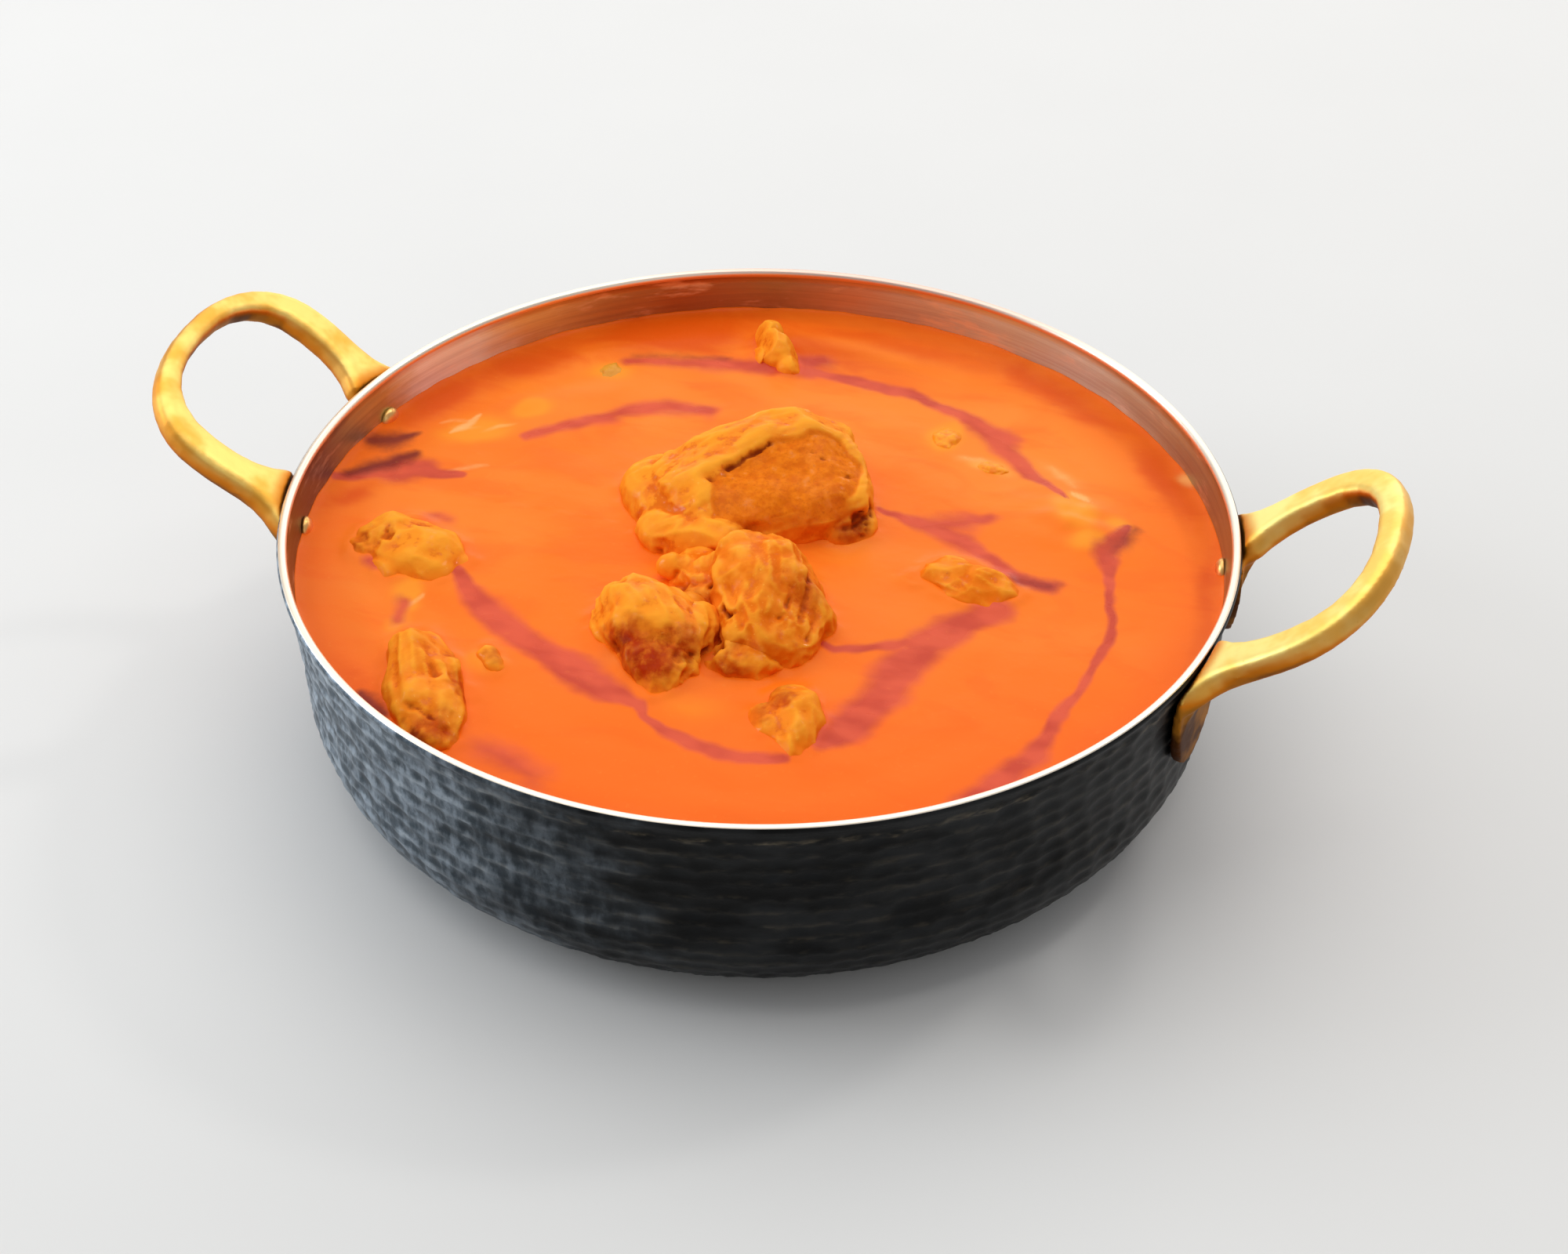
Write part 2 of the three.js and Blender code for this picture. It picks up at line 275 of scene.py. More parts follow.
def spun(name, profile, steps):  # a profile of (radius, height) in millimetres turned round the middle
    shape = bmesh.new()
    line = [shape.verts.new((radius * mm, 0, height * mm)) for radius, height in profile]
    edges = [shape.edges.new(pair) for pair in zip(line, line[1:])]
    bmesh.ops.spin(shape, geom=line + edges, axis=(0, 0, 1), angle=math.tau, steps=steps, use_merge=True)
    bmesh.ops.remove_doubles(shape, verts=shape.verts, dist=1e-6)
    bmesh.ops.recalc_face_normals(shape, faces=shape.faces)
    return meshOf(name, shape)


def setDown(shape, verts, size, turn, place):  # scales, turns, then moves
    bmesh.ops.scale(shape, vec=size, verts=verts)
    bmesh.ops.rotate(shape, matrix=Matrix.Rotation(math.radians(turn), 3, "Z"), verts=verts)
    bmesh.ops.translate(shape, vec=place, verts=verts)


def inBox(node, share):  # a place in a node's own box, in millimetres
    low, high = (np.array(corner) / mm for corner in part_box(node))
    return low + (high - low) * np.array(share)


def evenCopy(node, cell, rounds, lobes=()):  # a CAD node's mesh as small even faces with softened edges
    shape = bmesh.new()
    shape.from_mesh(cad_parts[node].data)
    bmesh.ops.remove_doubles(shape, verts=shape.verts, dist=5e-6)
    for *share, long, wide, tall, turn in lobes:
        lobe = bmesh.ops.create_icosphere(shape, subdivisions=3, radius=mm)["verts"]
        setDown(shape, lobe, (long, wide, tall), turn, Vector(inBox(node, share)) * mm)
    holder = addObject("holder", meshOf("holder", shape))
    remesh = holder.modifiers.new("even", "REMESH")
    remesh.mode = "VOXEL"
    remesh.voxel_size = cell * mm
    even = holder.evaluated_get(bpy.context.evaluated_depsgraph_get()).to_mesh()
    shape = bmesh.new()
    shape.from_mesh(even)
    bpy.data.objects.remove(holder)
    everyWay = {f"use_axis_{axis}": True for axis in "xyz"}
    for _ in range(rounds):
        bmesh.ops.smooth_vert(shape, verts=shape.verts, factor=0.5, **everyWay)
    return meshOf(node, shape)


def addPiece(name, mesh, nodes, finishes):
    mesh.shade_smooth()
    piece = addObject(name, mesh)
    for finish in finishes:
        mesh.materials.append(finish.material)
    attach(piece, "root")
    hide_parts(*nodes)
    return piece


# ---- pan

panShape = {
    "steps": 640,
    "baseRadius": 62.0,
    "corner": 18.0,
    "lean": 1.7,  # how far the side leans out below the lip
    "wall": 1.1,
    "lip": 1.7,
    "flareEnd": 3.5,  # below the rim, where the side is widest
    "sideEnd": 2.6,  # below the rim, where the lip starts
    "turnRadius": 80,  # where the way round the side is measured
    "markedHeight": 54,  # the way up the side that is hammered
    "firstRow": 2.2,
    "rowPitch": 3.1,  # hammer marks, row above row
    "markWidth": 5.4,
    "markReach": 3.3,
    "markDepth": 0.46,
    "calmTop": 1.9,  # below the rim, where the marks have faded out
    "calmReach": 1.2,
}


def sideRadius(height):
    corner = panShape["corner"]
    share = max(0.0, (height - corner) / (rimHeight - panShape["flareEnd"] - corner))
    return panShape["baseRadius"] + corner + panShape["lean"] * share**1.5


def arcPoints(middle, radius, start, end, count):
    angles = [math.radians(start + (end - start) * i / count) for i in range(count + 1)]
    return [(middle[0] + radius * math.cos(a), middle[1] + radius * math.sin(a)) for a in angles]


def panProfile():
    corner, wall = panShape["corner"], panShape["wall"]
    middle = (panShape["baseRadius"], corner)
    top = rimHeight - panShape["sideEnd"]
    base = [(radius, 0.0) for radius in (0, 12, 24, 36, 46, 54, 59)]
    outside = [(sideRadius(h), h) for h in np.arange(corner + 0.6, top, 0.58)]
    lipRadius = panShape["lip"] / 2
    lip = arcPoints((rimRadius - lipRadius, rimHeight - lipRadius), lipRadius, -40, 220, 12)
    inside = [(sideRadius(h) - wall, h) for h in np.linspace(top, corner + 1.5, 14)]
    floorInside = [(radius, wall) for radius in (50, 30, 12, 0)]
    outerArc = arcPoints(middle, corner, -90, 0, 46)
    innerArc = arcPoints(middle, corner - wall, 0, -90, 10)
    return base + outerArc + outside + lip + inside + innerArc + floorInside


def hammerMarks():  # middles of the hammer blows as (round the side, up the side), and how deep each is
    blows = []
    turn = math.tau * panShape["turnRadius"]
    count = round(turn / panShape["markWidth"])
    for row in range(int(panShape["markedHeight"] / panShape["rowPitch"])):
        up = panShape["firstRow"] + row * panShape["rowPitch"]
        shift = random.random()
        for i in range(count):
            around = (i + shift + random.uniform(-0.2, 0.2)) * turn / count
            blows.append((around % turn, up + random.uniform(-0.3, 0.3), random.uniform(0.55, 1.15)))
    return blows


def sortFinishes(mesh):  # 0 outside, 1 inside, 2 on the lip
    base, corner, lip = (panShape[name] for name in ("baseRadius", "corner", "lip"))
    halfWall = 0.5
    for face in mesh.polygons:
        middle = face.center / mm
        across = math.hypot(middle.x, middle.y)
        fromCorner = math.hypot(across - base, middle.z - corner)
        inCorner = middle.z < corner and fromCorner < corner - halfWall
        onSide = middle.z > corner and across < sideRadius(middle.z) - halfWall
        onFloor = middle.z > halfWall and across < base
        onLip = middle.z > rimHeight - 0.93 * lip and across < rimRadius - lip / 2
        if onLip or middle.z > rimHeight - 0.2 * lip:
            face.material_index = 2
        elif inCorner or onSide or onFloor:
            face.material_index = 1


def unrolled(points, normals):  # which points are outside, and how far round and up the side they are
    corner, base = panShape["corner"], panShape["baseRadius"]
    radius = np.hypot(points[:, 0], points[:, 1])
    low = points[:, 2] < corner
    angle = np.arctan2(corner - points[:, 2], np.maximum(radius - base, 1e-6))
    fromCorner = np.hypot(radius - base, points[:, 2] - corner)
    facesOut = (normals * points)[:, :2].sum(axis=1) > 0
    outer = np.where(low, (fromCorner > corner - 0.3) & (radius > base), facesOut)
    around = (np.arctan2(points[:, 1], points[:, 0]) % math.tau) * panShape["turnRadius"]
    up = np.where(low, corner * (math.pi / 2 - angle), corner * math.pi / 2 + points[:, 2] - corner)
    return outer, around, up


def hammered(outer, around, up):  # how deep each point is dented, and how near the edge of a row it is
    blows = hammerMarks()
    turn = math.tau * panShape["turnRadius"]
    tall = panShape["markWidth"] / panShape["rowPitch"]
    tree = kdtree.KDTree(3 * len(blows))
    for i, (u, v, _) in enumerate(blows):
        for j, lap in enumerate((-turn, 0, turn)):
            tree.insert((u + lap, v * tall, 0), 3 * i + j)
    tree.balance()
    dents, crests = np.zeros((2, len(up)))
    for k in np.nonzero(outer)[0]:
        _, index, far = tree.find((around[k], up[k] * tall, 0))
        _, row, deep = blows[index // 3]
        crests[k] = abs(up[k] - row) * 2 / panShape["rowPitch"]
        dents[k] = deep * max(0.0, 1 - (far / panShape["markReach"]) ** 2)
    return dents, crests


def makePan(finishes):
    mesh = spun("pan", panProfile(), panShape["steps"])
    sortFinishes(mesh)
    points = readPoints(mesh)
    normals = readPoints(mesh, "normal")
    outer, around, up = unrolled(points, normals)
    dents, crests = hammered(outer, around, up)
    corner = panShape["corner"]
    top = corner * math.pi / 2 + rimHeight - corner - panShape["calmTop"]
    calm = ease(up, 0.5, 5.0) * (1 - ease(up, top - panShape["calmReach"], top))
    dents *= calm
    waver = 0.12 * noiseAt(points, 16, 3) - 0.1
    movePoints(mesh, points - normals * (panShape["markDepth"] * dents - waver * calm * outer)[:, None])
    keepMark(mesh, "dent", dents)
    keepMark(mesh, "crest", ease(crests, 0.45, 1.05) * calm)
    addPiece("servingPan", mesh, ["pan"], finishes)
    print("pan hammered:", len(mesh.polygons), "faces")


def blackenedSteel():
    finish = Finish("blackenedSteel", Metallic=0.9)
    crest, dent = finish.mark("crest"), finish.mark("dent")
    patches = finish.cloud(14, 3, 0.55, (1, 1, 0.5))
    blotch = finish.cloud(3.0, 4, 0.62, (0.75, 0.75, 1.5))
    flecks = finish.cloud(2.6, 3, 0.6, (1.6, 1.6, 0.5))
    fine = finish.cloud(0.7, 3, 0.6)
    body = patches.fade(0.35, 0.65).mix(tone(20, 20, 20), tone(40, 41, 42))
    # painted light: the outside is lightened towards the left, where light falls, with pale blue-grey
    # painted highlight spots
    side = finish.axis("X") * -0.9 + finish.axis("Y") * -0.3 + (patches - 0.5) * 50
    leftLight = side.fade(13, 78)
    spots = (blotch + (crest - 0.4) * 0.12).fade(0.33, 0.7)
    pale = spots.mix(tone(80, 94, 106), tone(178, 192, 206))
    body = (leftLight * 0.9).mix(body, pale)
    # painted highlights: short pale dashes on the crests between rows of hammer marks, brownish at the
    # front, blue-white on the lit left, stronger in the first row under the lip
    firstRow = finish.axis("Z").fade(rimHeight - 6.5, rimHeight - 4.5)
    edge = crest * (flecks + (patches - 0.5) * 0.5).fade(0.4, 0.7)
    glintTone = leftLight.mix(tone(128, 116, 96), tone(190, 202, 212))
    body = (edge * (leftLight * 0.4 + 0.14 + firstRow * 0.4)).mix(body, glintTone)
    body = dent.wash(body, 0.5, 1.1, 0.35, (26, 29, 32))
    finish.set("Base Color", body)
    finish.set("Roughness", 0.36 + patches * 0.14 + fine * 0.08 - edge * 0.08)
    finish.relief(fine, 0.06, 0.5)
    return finish


# painted light on the inner wall: the colour round the way paints reflections of the curry and pale
# highlights
paintedWallLight = [  # way round, and the colour there
    (0, 150, 124, 86), (0.27, 168, 152, 104), (0.33, 180, 184, 160), (0.385, 190, 200, 180),
    (0.41, 206, 228, 220), (0.455, 214, 244, 250), (0.485, 204, 216, 218), (0.51, 206, 184, 162),
    (0.54, 170, 146, 116), (0.58, 172, 124, 72), (0.61, 190, 168, 116), (0.64, 218, 216, 178),
    (0.665, 240, 252, 240), (0.69, 250, 255, 250), (0.712, 200, 196, 150), (0.735, 186, 184, 154),
    (0.757, 146, 126, 118), (0.8, 130, 108, 56), (1, 150, 124, 86),
]


def brushedSteel():
    finish = Finish("brushedSteel", Metallic=1.0)
    rings = finish.cloud(1.2, 4, 0.65, (40, 40, 0.6))
    glareStreaks = finish.cloud(12, 4, 0.65, (1.2, 1.2, 0.28))
    stops = [(place, tone(*colour)) for place, *colour in paintedWallLight]
    place = finish.bearing() + (glareStreaks - 0.5) * 0.035
    body = finish.node("ShaderNodeValToRGB", {"stops": stops}, {0: place})
    body = rings.wash(body, 0.35, 0.7, 0.28, (120, 84, 74))
    # painted highlights: pale horizontal streaks on the inner wall
    body = glareStreaks.wash(body, 0.52, 0.7, 0.45, (255, 246, 226))
    finish.set("Base Color", body)
    # painted highlight: the palest band is made less metallic so it shows whiter
    sheen = place.fade(0.64, 0.668) * place.fade(0.712, 0.69)
    finish.set("Metallic", 1 - sheen * 0.4)
    finish.set("Roughness", 0.32 + rings * 0.14)
    finish.relief(rings, 0.03, 0.5)
    return finish


def polishedLip():
    finish = Finish("polishedLip", Metallic=1.0)
    scuff = finish.cloud(2.5, 3, 0.6)
    bright = (scuff * 0.4).mix(tone(255, 241, 222), tone(240, 224, 204))
    # painted shade: the lip turns darker and pinker towards the back
    finish.set("Base Color", finish.axis("Y").fade(60, 82).mix(bright, tone(228, 196, 180)))
    finish.set("Roughness", 0.3 + scuff * 0.12)
    return finish


# ---- handles and rivets

handleShape = {"cell": 0.36, "rounds": 4, "uneven": 0.07, "unevenSize": 9.0, "pits": 0.03, "pitSize": 1.4}


def makeHandle(node, finish):
    mesh = evenCopy(node, handleShape["cell"], handleShape["rounds"])
    points = readPoints(mesh)
    normals = readPoints(mesh, "normal")
    swell = noiseAt(points, handleShape["unevenSize"], 2) * handleShape["uneven"]
    pits = noiseAt(points, handleShape["pitSize"], 5) * handleShape["pits"]
    movePoints(mesh, points + normals * (swell + pits - handleShape["uneven"])[:, None])
    radius = np.hypot(points[:, 0], points[:, 1])
    outwards = (normals * points)[:, :2].sum(axis=1) / radius
    # painted shade on surfaces facing down, near the wall, on the loop's sides and on the palms; on the
    # palms it is partly tarnish
    facesDown = ease(-normals[:, 2], -0.35, 0.6)
    nearWall = (1 - ease(radius, rimRadius, rimRadius + 3.5)) * ease(-outwards, -0.3, 0.8)
    onPalm = 1 - ease(points[:, 2], rimHeight - 9, rimHeight - 2)
    loop = points[radius > rimRadius + 5]
    facing = np.linalg.svd(loop - loop.mean(axis=0), full_matrices=False)[2][2]  # square to the flat loop
    onSide = 1 - ease(np.abs(normals @ facing), 0.35, 0.85)
    tarnish = 0.6 * facesDown + 0.6 * nearWall + 0.85 * onPalm + 0.32 * onSide
    keepMark(mesh, "tarnish", np.clip(tarnish, 0, 1))
    addPiece(node + "_cast", mesh, [node], [finish])
    print(node, "cast:", len(mesh.polygons), "faces")


def castBrass(name, light, deep):
    finish = Finish(name, Metallic=1.0)
    tarnish = finish.mark("tarnish")
    clouds = finish.cloud(9, 3, 0.55)
    fine = finish.cloud(0.9, 3, 0.65)
    bright = clouds.fade(0.38, 0.64).mix(light, deep)
    bright = fine.wash(bright, 0.66, 0.78, 0.35, (206, 136, 40))
    # painted shade: orange-brown as the mark rises, then dark brown
    shadedBrass = tarnish.fade(0, 0.6).mix(bright, tone(214, 126, 26))
    darkShadeTone = clouds.fade(0.4, 0.6).mix(tone(84, 44, 8), tone(170, 110, 30))
    finish.set("Base Color", tarnish.fade(0.5, 1).mix(shadedBrass, darkShadeTone))
    finish.set("Roughness", 0.42 + clouds * 0.14 + tarnish * 0.1)
    finish.relief(fine, 0.05, 0.6)
    return finish


rivetShape = {"radius": 2.35, "height": 1.3, "sunk": 0.25, "shank": 1.0, "shankLength": 1.6}


def makeRivet(node, finish):
    low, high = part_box(node)
    middle = (low + high) / 2 / mm
    angle = math.atan2(middle.y, middle.x)
    inwards = Vector((-math.cos(angle), -math.sin(angle), 0))
    inner = min(abs(low.x), abs(high.x)) / mm / abs(math.cos(angle))  # where the head's top is
    radius, height, sunk, shank, length = rivetShape.values()
    profile = [(0, -length), (shank, -length), (shank, 0), (radius * 0.97, -0.1)]
    profile += [(radius * x, height * y) for x, y in arcPoints((0, 0), 1, 0, 90, 7)]
    mesh = spun(node, profile, 28)
    seat = inwards * -(inner + height + sunk)
    seat.z = middle.z
    turn = inwards.to_track_quat("Z", "Y").to_matrix().to_4x4()
    mesh.transform(Matrix.Translation(seat * mm) @ turn)
    addPiece(node + "_head", mesh, [node], [finish])


def rivetBrass():
    finish = Finish("rivetBrass", Metallic=1.0)
    scuff = finish.cloud(0.8, 3, 0.6)
    finish.set("Base Color", scuff.mix(tone(255, 212, 140), tone(230, 164, 88)))
    finish.set("Roughness", 0.24 + scuff * 0.2)
    return finish


# ---- lamb

# Places are shares of the way across, along and up the piece's own box. Sizes are in millimetres.
# facets: count and depth of random flats. lumps: size and height. grain: the way the fibres run.
# planes: bearing, rise and a place on each flat. lobes: place, three radii, turn. face: its outline.
# knobs: place, reach, rise. pits: place, reach, depth, painted shade inside. reds: place, reach, strength of
# dark red patches.
# cuts: width, depth, painted shade inside, and the places along each.
lambBasics = dict(
    cell=0.34, swell=0.3, sink=0, ruddy=0, planes=[], lobes=[], face=[], knobs=[], pits=[], cuts=[], reds=[],
)
lambShapes = {}
lambShapes["lamb_large"] = dict(
    cell=0.42, swell=0.2, ruddy=0.05, facets=(8, 1.1), lumps=(8, 0.75), grain=(0.75, 0.65, 0.12),
    fibres=0.22,
    planes=[(31, 25, (0.92, 0.72, 0.75)), (123, 30, (0.43, 0.85, 0.86)), (-100, 25, (0.2, -0.06, 0.6))],
    lobes=[(0.33, 0.07, 0.57, 7, 4.8, 4.6, -20), (0.48, 0.03, 0.59, 7.5, 6.2, 4.6, 12),
        (0.9, 0.42, 0.5, 5.5, 6.5, 5.5, 0), (0.69, 0.87, 0.7, 6, 5, 5.5, 0),
        (0.27, 0.11, 0.54, 5, 4, 4.6, -20)],
    face=[(0.4, 0.26), (0.49, 0.42), (0.57, 0.58), (0.69, 0.69), (0.81, 0.73), (0.91, 0.64), (0.95, 0.49),
        (0.93, 0.34), (0.85, 0.24), (0.72, 0.15), (0.6, 0.1), (0.48, 0.1)],
    knobs=[(0.3, 0.25, 0.85, 4.5, 0.7), (0.12, 0.3, 0.6, 4, 0.5)],
    pits=[(0.97, 0.37, 0.63, 3, 1.3, 0.8), (1, 0.46, 0.68, 2.4, 0.7, 0.7), (0.18, 0.23, 0.71, 2, 0.2, 0),
        (0.29, 0.13, 0.67, 1.8, 0.2, 0.05), (0.73, 0.57, 0.95, 0.9, 0.3, 0.5),
        (0.78, 0.55, 0.94, 0.9, 0.3, 0.5), (0.89, 0.51, 0.87, 1, 0.3, 0.5), (0.6, 0.14, 0.68, 3, 0.4, 0.3)],
    cuts=[
        (0.5, 0.6, 0.6, [(0.46, 0.36, 0.92), (0.51, 0.46, 0.94), (0.56, 0.56, 0.96)]),
        (0.8, 0.5, 0.3, [(0.41, 0.28, 0.9), (0.46, 0.36, 0.92)]),
        (0.8, 0.7, 0.7, [(0.3, -0.06, 0.56), (0.37, -0.12, 0.6), (0.45, -0.12, 0.62), (0.52, -0.06, 0.66),
            (0.6, 0.06, 0.71)]),
        (1.6, 0.6, 0, [(0.2, 0.59, 0.83), (0.24, 0.38, 0.79), (0.28, 0.24, 0.75), (0.32, 0.11, 0.71),
            (0.35, 0.01, 0.63)]),
        (0.6, 0.6, 0.6, [(0.96, 0.34, 0.64), (0.9, 0.24, 0.68), (0.84, 0.18, 0.7)]),
    ],
    reds=[(0.95, 0.32, 0.62, 5, 0.8), (0.84, 0.18, 0.68, 3.5, 0.5), (0.6, 0.08, 0.7, 4, 0.4)],
)
lambShapes["lamb_middle"] = dict(
    cell=0.38, swell=0.8, ruddy=0.65, facets=(9, 1), lumps=(5, 1), grain=(0.35, -0.92, 0.15), fibres=0.5,
    planes=[(35, 25, (0.79, 0.64, 0.86)), (-10, 10, (0.99, 0.39, 0.65)), (122, 30, (0.24, 0.8, 0.9)),
        (90, 60, (0.5, 0.8, 0.95))],
    lobes=[(0.12, 0.64, 0.66, 5.6, 2, 1.7, 6), (0.3, 0.65, 0.71, 5.5, 2.5, 2.3, 22),
        (0.45, 0.77, 0.77, 6, 3.2, 3, 45), (0.62, 0, 0.44, 6.4, 4.4, 4.8, 0),
        (0.2, 0.3, 0.5, 4.5, 4.5, 4, 0), (0.85, 0.25, 0.5, 4.5, 5.5, 5.5, 0)],
    knobs=[(0.42, 0.6, 0.95, 4, 0.5), (0.64, 0.8, 0.95, 3.5, 0.6), (0.56, 0.06, 0.7, 4, 0.9),
        (0.7, 0.08, 0.72, 3.5, 0.7)],
    pits=[(0.79, 0.53, 0.88, 2.2, 0.4, 0.5), (0.8, 0.22, 0.82, 1.6, 0.3, 0.3),
        (0.3, 0.44, 0.78, 2, 0.4, 0.4), (0.65, 0.46, 0.92, 2, 0.3, 0.3), (0.46, 0, 0.64, 2.6, 1.6, 1),
        (0.06, 0.58, 0.64, 1.8, 0.4, 0.7)],
    cuts=[
        (0.8, 0.8, 0.4, [(-0.02, 0.5, 0.6), (0.08, 0.48, 0.63), (0.2, 0.46, 0.68), (0.36, 0.47, 0.76)]),
        (0.55, 0.9, 0.75, [(0.36, 0.56, 0.84), (0.5, 0.57, 0.87), (0.63, 0.6, 0.92)]),
        (0.6, 0.7, 0.6, [(0.43, 0.22, 0.8), (0.48, 0.17, 0.81), (0.57, 0.2, 0.83)]),
        (0.45, 0.4, 0.3, [(0.7, 0.6, 0.94), (0.76, 0.42, 0.9), (0.77, 0.22, 0.82)]),
        (0.45, 0.4, 0.35, [(0.8, 0.58, 0.9), (0.85, 0.42, 0.85), (0.86, 0.24, 0.77)]),
        (0.45, 0.4, 0.3, [(0.88, 0.5, 0.83), (0.93, 0.34, 0.77), (0.93, 0.18, 0.7)]),
    ],
    reds=[(0.58, -0.09, 0.55, 4.5, 0.9), (0.3, 0.35, 0.7, 4, 0.35), (0.84, 0.45, 0.87, 5, 0.5),
        (0.66, 0.42, 0.9, 3, 0.3), (0.18, 0.42, 0.7, 3.5, 0.5)],
)
lambShapes["lamb_front"] = dict(
    cell=0.36, swell=0.9, ruddy=0.1, facets=(7, 0.9), lumps=(5, 0.8), grain=(-0.6, 0.75, 0.1), fibres=0.4,
    planes=[(-134, 12, (0.36, 0.08, 0.57)), (-38, 10, (0.85, -0.08, 0.57)), (-85, 57, (0.5, 0.25, 0.96)),
        (0, 10, (0.99, 0.25, 0.57))],
    lobes=[(0.64, 0.03, 0.44, 7, 8.6, 6.6, 0), (0.85, 0.55, 0.58, 4.5, 5, 4.8, 20),
        (0.12, 0.5, 0.5, 4, 4.5, 4.5, 0)],
    knobs=[(0.15, 0.6, 0.85, 4.5, 0.7), (0.4, 0.5, 0.97, 4, 0.5), (0.56, 0.34, 0.9, 1.8, 0.4)],
    pits=[(0.36, 0.14, 0.74, 3.6, 0.3, 0.6), (0.54, 0, 0.68, 3, 0.3, 0.45), (0.86, 0.1, 0.72, 3, 0.5, 0.55),
        (0.7, 0.2, 0.86, 2.6, 0.4, 0.4), (0.99, 0.3, 0.64, 2.6, 1.4, 1), (0.8, 0.5, 0.87, 1.4, 0.4, 0.4)],
    cuts=[
        (0.6, 0.6, 0.5, [(0.56, 0.3, 0.9), (0.6, 0.12, 0.8), (0.68, 0, 0.7)]),
        (0.6, 0.6, 0.5, [(0.74, 0.55, 0.9), (0.8, 0.36, 0.86), (0.9, 0.2, 0.74)]),
    ],
    reds=[(0.42, 0.12, 0.78, 6, 1), (0.62, 0, 0.7, 7, 1), (0.8, 0.2, 0.8, 5, 0.9), (0.3, 0.2, 0.7, 4, 0.8)],
)
lambShapes["lamb_left"] = dict(
    cell=0.4, ruddy=0.1, facets=(7, 0.8), lumps=(6, 0.7), grain=(0.9, -0.4, 0.1), fibres=0.14,
    lobes=[(0.18, 0.4, 0.5, 5, 5.4, 3.8, 0), (0.93, 0.45, 0.5, 4, 3, 3.2, -20),
        (0.36, 0.88, 0.52, 5.4, 3.6, 4, 0), (0.48, 0.22, 0.5, 7, 3.8, 3.6, 0)],
    knobs=[(0.28, 0.75, 0.9, 4, 0.6), (0.7, 0.5, 0.9, 4.5, 0.6)],
    pits=[(0.34, 0.5, 0.9, 2.2, 0.7, 0.25), (0.12, 0.4, 0.8, 2.6, 0.3, 0.4)],
    cuts=[(1.2, 0.7, 0.25, [(0.2, 0.25, 0.8), (0.24, 0.45, 0.88), (0.4, 0.6, 0.95), (0.55, 0.8, 0.9)])],
    reds=[(0.1, 0.4, 0.7, 3.5, 0.8)],
)
lambShapes["lamb_near_rim"] = dict(
    cell=0.38, swell=0.4, ruddy=0.5, facets=(7, 0.9), lumps=(6, 0.8), grain=(-0.5, 0.85, 0.1), fibres=0.34,
    lobes=[(0.08, 0.88, 0.5, 4, 5, 4.4, 0), (0.85, 0.5, 0.42, 4.4, 7, 3.8, 15),
        (0.75, 0.1, 0.6, 4.5, 4, 4, 0)],
    knobs=[(0.2, 0.75, 0.9, 4.5, 0.6), (0.5, 0.35, 0.95, 4.5, 0.6), (0.36, 0.2, 0.86, 2.5, 0.6),
        (0.96, 0.14, 0.7, 2, 0.5)],
    pits=[(0.9, 0.04, 0.72, 1.6, 0.3, 0.4)],
    cuts=[
        (0.55, 0.45, 0.5, [(0.5, 0.22, 0.94), (0.64, 0.2, 0.94), (0.78, 0.17, 0.9)]),
        (1.1, 0.5, 0.9, [(0.48, 0.12, 0.9), (0.6, 0.06, 0.88), (0.74, -0.02, 0.84), (0.86, -0.06, 0.8)]),
        (0.7, 0.3, 0.15, [(0.28, 0.71, 0.96), (0.4, 0.65, 0.98), (0.48, 0.58, 0.98), (0.6, 0.5, 0.95)]),
        (0.7, 0.3, 0.15, [(0.53, 0.72, 0.88), (0.62, 0.6, 0.9), (0.8, 0.42, 0.84), (0.87, 0.3, 0.84)]),
    ],
    reds=[(0.8, 0.12, 0.8, 5, 0.8), (0.82, 0.5, 0.75, 5, 0.8), (0.62, 0.75, 0.8, 3, 0.5)],
)
lambShapes["lamb_sliver"] = dict(
    cell=0.28, swell=0.2, facets=(4, 0.4), lumps=(2.5, 0.3), grain=(0.6, -0.7, 0.1), fibres=0.12,
    reds=[(0.6, 0.5, 0.7, 3.5, 0.6)],
)
lambShapes["lamb_right"] = dict(
    sink=0.8, ruddy=0.6, facets=(7, 0.7), lumps=(4, 0.8), grain=(0.9, -0.3, 0.05), fibres=0.3,
    lobes=[(0.06, 0.4, 0.5, 4, 3.6, 3.4, 0), (0.3, 0.85, 0.5, 4.5, 2.6, 3.2, 0)],
    knobs=[(0.25, 0.7, 0.9, 3.5, 0.6), (0.6, 0.5, 0.9, 3, 0.5), (0.8, 0.7, 0.85, 3.5, 0.6)],
    pits=[(0.1, 0.2, 0.8, 1.6, 0.3, 0.5), (0.3, 0.45, 0.9, 1.1, 0.2, 0.3)],
    reds=[(0, 0.3, 0.7, 3, 0.6), (0.97, 0.4, 0.6, 3, 0.5)],
)
lambShapes["lamb_bottom"] = dict(
    ruddy=0.35, facets=(6, 0.8), lumps=(4.4, 0.6), grain=(0.4, -0.85, 0.1), fibres=0.16,
    lobes=[(0.62, 0.12, 0.48, 4.4, 3.6, 3.8, 0), (0.28, 0.58, 0.68, 6, 2.4, 2.2, 40),
        (0.3, 0.3, 0.6, 3.6, 3.4, 2.8, 0)],
    knobs=[(0.62, 0.75, 0.9, 3, 0.5)],
    pits=[(1.05, 0.14, 0.62, 2.2, 0.4, 1)],
    cuts=[(0.8, 0.5, 0.4, [(0.2, 0.85, 0.7), (0.32, 0.6, 0.85), (0.3, 0.4, 0.8)])],
    reds=[(0.28, 0.62, 0.9, 3.4, 0.75), (0, 0.38, 0.8, 3.8, 0.75), (0.12, 0.8, 0.7, 4, 0.7),
        (1.05, 0.14, 0.6, 3, 0.8)],
)
